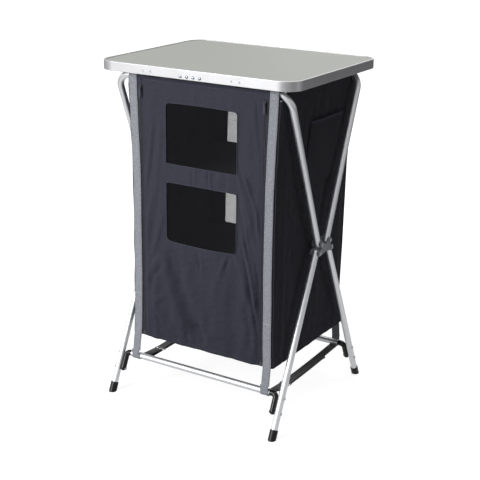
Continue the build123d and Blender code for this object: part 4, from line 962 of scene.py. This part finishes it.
y0, y1, z0, z1 = POCKET
pocket_y = np.linspace(y0, y1, 70)
U, V = np.meshgrid(pocket_y, np.linspace(z0, z1, 66), indexing="ij")
pocket = shell("side_pocket_cloth", pocket_point(U, V, 0.0), 0.8, CLOTH_SIDE, stands_for=["side_pocket"],
               **in_bag)
pocket_trim = []
here = {"body": BAG, "group": pocket_trim}
webbing("side_pocket_binding", pocket_point(pocket_y, z1 - 3.0, 0.35), BINDING, width=8.0, thick=0.7,
        across=(0, 0, 1), **here)
walk_y = np.r_[np.full(51, y0 + 3), np.linspace(y0 + 3, y1 - 3, 50), np.full(50, y1 - 3)]
walk_z = np.r_[z1 - 2, np.linspace(z1 - 4, z0 + 3, 50), np.full(50, z0 + 3), np.linspace(z0 + 3, z1 - 2, 50)]
stitches("side_pocket_stitches", pocket_point(walk_y, walk_z, 0.1), (1, 0, 0), THREAD, **here)
bag_pieces += pocket_trim


# Zips: tape, coil teeth and the box at the foot
def block(*vectors):
    """A bar's middle and its half length, width and height, as vectors."""
    return [np.array(vector, float) for vector in vectors]


for side, sign in SIDES:
    x = SHIFT + sign * ZIP_X
    tape = xyz(x, FRONT + 1.45, np.linspace(BOTTOM, TOP, 120))
    webbing(f"{side}_zip_tape", tape, ZIP_TAPE, width=14.0, thick=0.5, stands_for=[f"{side}_zip"], **in_bag)
    teeth = []
    for k, height in enumerate(np.arange(BOTTOM + 13, TOP - 1, 1.9)):
        middle = (x + 0.5 * (-1) ** k, FRONT + 0.3, height)
        teeth.append(block(middle, (1.6, 0, 0), (0, 0, 0.62), (0, -0.9, 0)))
    bars(f"{side}_zip_teeth", teeth, ZIP_COIL, **in_bag)
    box = block((x, FRONT - 0.2, BOTTOM + 6), (0, 0, 6.0), (3.4, 0, 0), (0, -1.3, 0))
    bars(f"{side}_zip_box", [box], ZIP_COIL, **in_bag)


# Corner straps
def rail_x(sign):
    """Where a corner strap meets its rail."""
    return RAIL_SHIFT + sign * RAIL_REACH


def strap_x(z, sign):
    """Where a corner strap's middle stands: beside the cabinet's corner, and then on its way to the rail."""
    at_hem = SHIFT + sign * (LEVELS[0][1] - STRAP_INSET)
    share = np.clip((BOTTOM - z) / (BOTTOM - RAIL_Z), 0, 1)
    held = SHIFT + sign * (half_at(np.maximum(z, BOTTOM)) - STRAP_INSET)
    return np.where(z >= BOTTOM, held, at_hem + share * (rail_x(sign) - at_hem))


def strap_depth(z, way):
    """How far a corner strap stands from the middle: straight down in front, and on the cloth behind."""
    at_rail = RAIL_Y + LOOP_TURN
    if way < 0:
        return np.interp(z, [RAIL_Z, TUBE_Z], [at_rail, TUBE_Y + STRAP_TURN])
    below = np.interp(z, [RAIL_Z, BOTTOM], [at_rail, back_at(BOTTOM) + 1.05])
    return np.where(z >= BOTTOM, back_at(np.maximum(z, BOTTOM)) + 1.05, below)


def strap_path(way, sign):
    """A corner strap's middle: over the top tube and down to its loop."""
    x = strap_x(TUBE_Z, sign)
    a = np.radians(np.linspace(0, 180, 25)[1:])
    z = np.linspace(TUBE_Z - 3, 128.9, 230)
    eased = np.convolve(np.pad(strap_x(z, sign), 8, mode="edge"), np.ones(17) / 17, mode="valid")
    return np.concatenate([
        xyz(x, way * (TUBE_Y - STRAP_TURN), np.linspace(TUBE_Z - 22, TUBE_Z, 6)),
        xyz(x, way * (TUBE_Y - STRAP_TURN * np.cos(a)), TUBE_Z + STRAP_TURN * np.sin(a)),
        xyz(eased, way * strap_depth(z, way), z),
    ])


def strap_rows(way, sign):
    """The rows of stitches that hold a corner strap: two sides, an arc and cross rows."""
    x = strap_x(TUBE_Z, sign)
    y = way * (TUBE_Y + STRAP_TURN + 0.75)
    low, high = STRAP_HEAD
    a = np.linspace(0, math.pi, 14)
    rows = [xyz(x + dx, y, np.linspace(low, high, 12)) for dx in (-8.5, 8.5)]
    rows.append(xyz(x + 7.5 * np.cos(a), y, low + 8 + 9 * np.sin(a)))
    for z in STRAP_HEAD + STRAP_ROWS if way < 0 else STRAP_HEAD:
        rows.append(xyz(strap_x(z, sign) + np.linspace(-11, 11, 8), way * (strap_depth(z, way) + 0.75), z))
    return rows


strap_parts = []
on_strap = {"body": BAG, "group": strap_parts}
for end, way in ENDS:
    for side, sign in SIDES:
        name = f"{end}_{side}_strap"
        out = (0, way, 0)
        path = strap_path(way, sign)
        webbing(name + "_web", path, GREY_WEBBING, wander=0.35, stands_for=[name], **on_strap)
        for k, row in enumerate(strap_rows(way, sign)):
            thread, long, wide = (PALE_THREAD, 2.6, 0.8) if k == PALE_ROW else (GREY_WEBBING, 2.3, 0.34)
            stitches(f"{name}_stitches_{k}", row, out, thread, pitch=3.2, long=long, wide=wide, **on_strap)
        lane = np.linspace(BOTTOM + 4, 870, 200)
        for tag, dx in (("inner", -10.4), ("outer", 10.4)):
            row = xyz(strap_x(lane, sign) + dx, way * (strap_depth(lane, way) + 0.72), lane)
            stitches(f"{name}_{tag}_run", row, out, GREY_WEBBING, pitch=4.4, high=0.22, **on_strap)


# Loops round the rails and the side straps between the frames
def loop_path(way, sign):
    """From a corner strap's foot round the outside of its rail and under it."""
    a = np.radians(np.linspace(0, 90, 14))
    y = np.r_[np.full(8, RAIL_Y + LOOP_TURN), RAIL_Y + LOOP_TURN * np.cos(a), RAIL_Y - 9.0]
    z = np.r_[np.linspace(128.4, RAIL_Z + 1, 8), RAIL_Z - LOOP_TURN * np.sin(a), RAIL_Z - LOOP_TURN]
    return xyz(rail_x(sign), way * y, z)


def side_strap_path(way, sign):
    """From a rail loop to the ring, round its bar and back below. The rear strap's tail is long and peels."""
    x_ring, bar, start = SHIFT + sign * RING_REACH, RING_Y + way * RING_BAR, way * (RAIL_Y - LOOP_END)
    lean = rail_x(sign) - x_ring
    x_start = x_ring + (start - bar) / (way * RAIL_Y - bar) * lean
    t = np.linspace(0, 1, 60)
    sag = 1.6 * np.sin(math.pi * t) * (1 if way > 0 else 0.4)
    a = np.radians(np.linspace(0, 180, 13)[1:])
    path = [
        xyz(x_start + (x_ring - x_start) * t, start + (bar - start) * t, RING_Z + BAR_TURN - sag),
        xyz(x_ring, bar - way * BAR_TURN * np.sin(a), RING_Z + BAR_TURN * np.cos(a)),
    ]
    if way < 0:
        path.append(xyz(x_ring, np.linspace(bar - 2, bar - 40, 14), RING_Z - BAR_TURN))
    else:
        t = np.linspace(0.02, 1, 50)
        y = bar + (TAIL_Y - bar) * t
        peel = 2.6 * np.clip((t - 0.86) / 0.14, 0, 1) ** 2
        dip = 1.6 * np.sin(math.pi * np.minimum((y - bar) / (start - bar), 1.0))
        x = x_ring + lean * (TAIL_Y - bar) / (RAIL_Y - bar) * t
        path.append(xyz(x, y, RING_Z - BAR_TURN - dip - peel))
    return np.concatenate(path)


def strap_point(name, place, body):
    """The pointed tip of a rear side strap's tail."""
    x, y, z = place
    tip = []
    for t in np.linspace(0, 1, 9):
        w = STRAP / 2 * (1 - t) + 0.4
        ring = ((-w, 0.7), (w, 0.7), (w, -0.7), (-w, -0.7))
        tip.append([(x + side, y + 14 * t, z - 0.6 * t + rise) for side, rise in ring])
    return ring_sweep(name, tip, DARK_WEBBING, body, uv=[(p[1], p[0]) for ring in tip for p in ring])


for end, way in ENDS:
    facts = {"body": end + "_lower_frame", "stands_for": [end + "_side_straps"]}
    for side, sign in SIDES:
        webbing(f"{end}_{side}_rail_loop", loop_path(way, sign), GREY_WEBBING, **facts)
        path = side_strap_path(way, sign)
        strap = webbing(f"{end}_{side}_side_strap", path, DARK_WEBBING, **facts)
        if way > 0:
            point = strap_point(f"{end}_{side}_strap_point", path[-1], facts["body"])
            for part in (strap, point):
                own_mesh(part)

# The cloth and the corner straps each get a mesh of their own, since they gather up under the top when the
# legs fold
for obj in bag_pieces + [door_cloth] + door_parts:
    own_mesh(obj)
for obj in strap_parts:
    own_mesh(obj)

# Camera
scene = bpy.context.scene
scene.view_settings.view_transform = "Standard"
yaw, pitch, roll = 0.5568, 0.3032, 0.011
forward = Vector((-math.sin(yaw) * math.cos(pitch), math.cos(yaw) * math.cos(pitch), -math.sin(pitch)))
right = Vector((math.cos(yaw), math.sin(yaw), 0))
up = right.cross(forward)
camera_right = right * math.cos(roll) + up * math.sin(roll)
camera_up = up * math.cos(roll) - right * math.sin(roll)
lens = bpy.data.cameras.new("camera")
lens.sensor_width = 36.0
lens.lens = 1108.39 * 36.0 / 480
lens.shift_x = 0.0036
lens.shift_y = -0.0444
camera = bpy.data.objects.new("camera", lens)
scene.collection.objects.link(camera)
turn = Matrix((camera_right, camera_up, -forward)).transposed()
camera.matrix_world = Matrix.Translation((1.5645, -2.5131, 1.4261)) @ turn.to_4x4()
scene.camera = camera


# Lights
def softbox(name, place, target, width, height, radiance):
    """An area lamp of that radiance facing the target."""
    lamp = bpy.data.lights.new(name, "AREA")
    lamp.shape = "RECTANGLE"
    lamp.size = width
    lamp.size_y = height
    lamp.energy = radiance * math.pi * width * height
    made = bpy.data.objects.new(name, lamp)
    scene.collection.objects.link(made)
    made.location = place
    made.rotation_euler = (Vector(target) - Vector(place)).to_track_quat("-Z", "Y").to_euler()


softbox("key", (-1.9, -4.2, 2.1), (0, 0, 0.55), 2.2, 2.0, 15.4)
softbox("top", (0.0, 0.3, 3.6), (0, 0, 0.8), 2.4, 2.4, 2.8)
softbox("right", (3.6, 0.6, 1.3), (0.2, 0, 0.5), 1.6, 2.4, 0.7)
softbox("rear", (-0.6, 3.4, 1.6), (0, 0, 0.6), 2.4, 2.0, 0.8)

# The world: white to the camera, dim for diffuse light, and brighter at the front left in reflections
world = bpy.data.worlds.new("world")
scene.world = world
world.use_nodes = True
w = Graph(world.node_tree)
ray = w.node("LightPath").outputs
_, direction = w.coordinates("Generated")
facing = 0
for share, part in zip((-0.60, -0.75, 0.28), direction):
    facing = w.math("MULTIPLY_ADD", part, share, facing)
studio = w.ramp(facing, -0.5, 0.6, 0.34, 1.0)
seen = w.math("MAXIMUM", ray["Is Camera Ray"], ray["Is Transmission Ray"])
seen = w.math("MAXIMUM", seen, w.times(ray["Is Glossy Ray"], studio))
background = w.tree.nodes["Background"]
w.put(background.inputs["Color"], w.mix(seen, (0.07, 0.07, 0.074), (1.0, 1.0, 1.0)))

# Floor
side = 14.0
floor_mesh = bpy.data.meshes.new("floor")
corners = [(-side, -side, 0), (side, -side, 0), (side, side, 0), (-side, side, 0)]
floor_mesh.from_pydata(corners, [], [(0, 1, 2, 3)])
floor = bpy.data.objects.new("floor", floor_mesh)
scene.collection.objects.link(floor)
g = Surface("floor", 0.9, specular=0.0)
place, (x, y, _) = g.coordinates()
g.colour(g.mix(g.noise(place, 3.0), (0.33, 0.33, 0.33), (0.35, 0.35, 0.35)))
ray = g.node("LightPath").outputs
reach = g.math("SQRT", g.math("ADD", g.math("POWER", x, 2.0), g.math("POWER", y, 2.0)))
seen = g.times(ray["Is Camera Ray"], g.ramp(reach, 0.7, 1.6, 0.88, 1.08))
mirrored = g.times(ray["Is Glossy Ray"], g.ramp(reach, 1.0, 2.4, 0.65, 0.0))
g.shader.inputs["Emission Color"].default_value = (1, 1, 1, 1)
g.put(g.shader.inputs["Emission Strength"], g.math("ADD", seen, mirrored))
floor_mesh.materials.append(g.material)
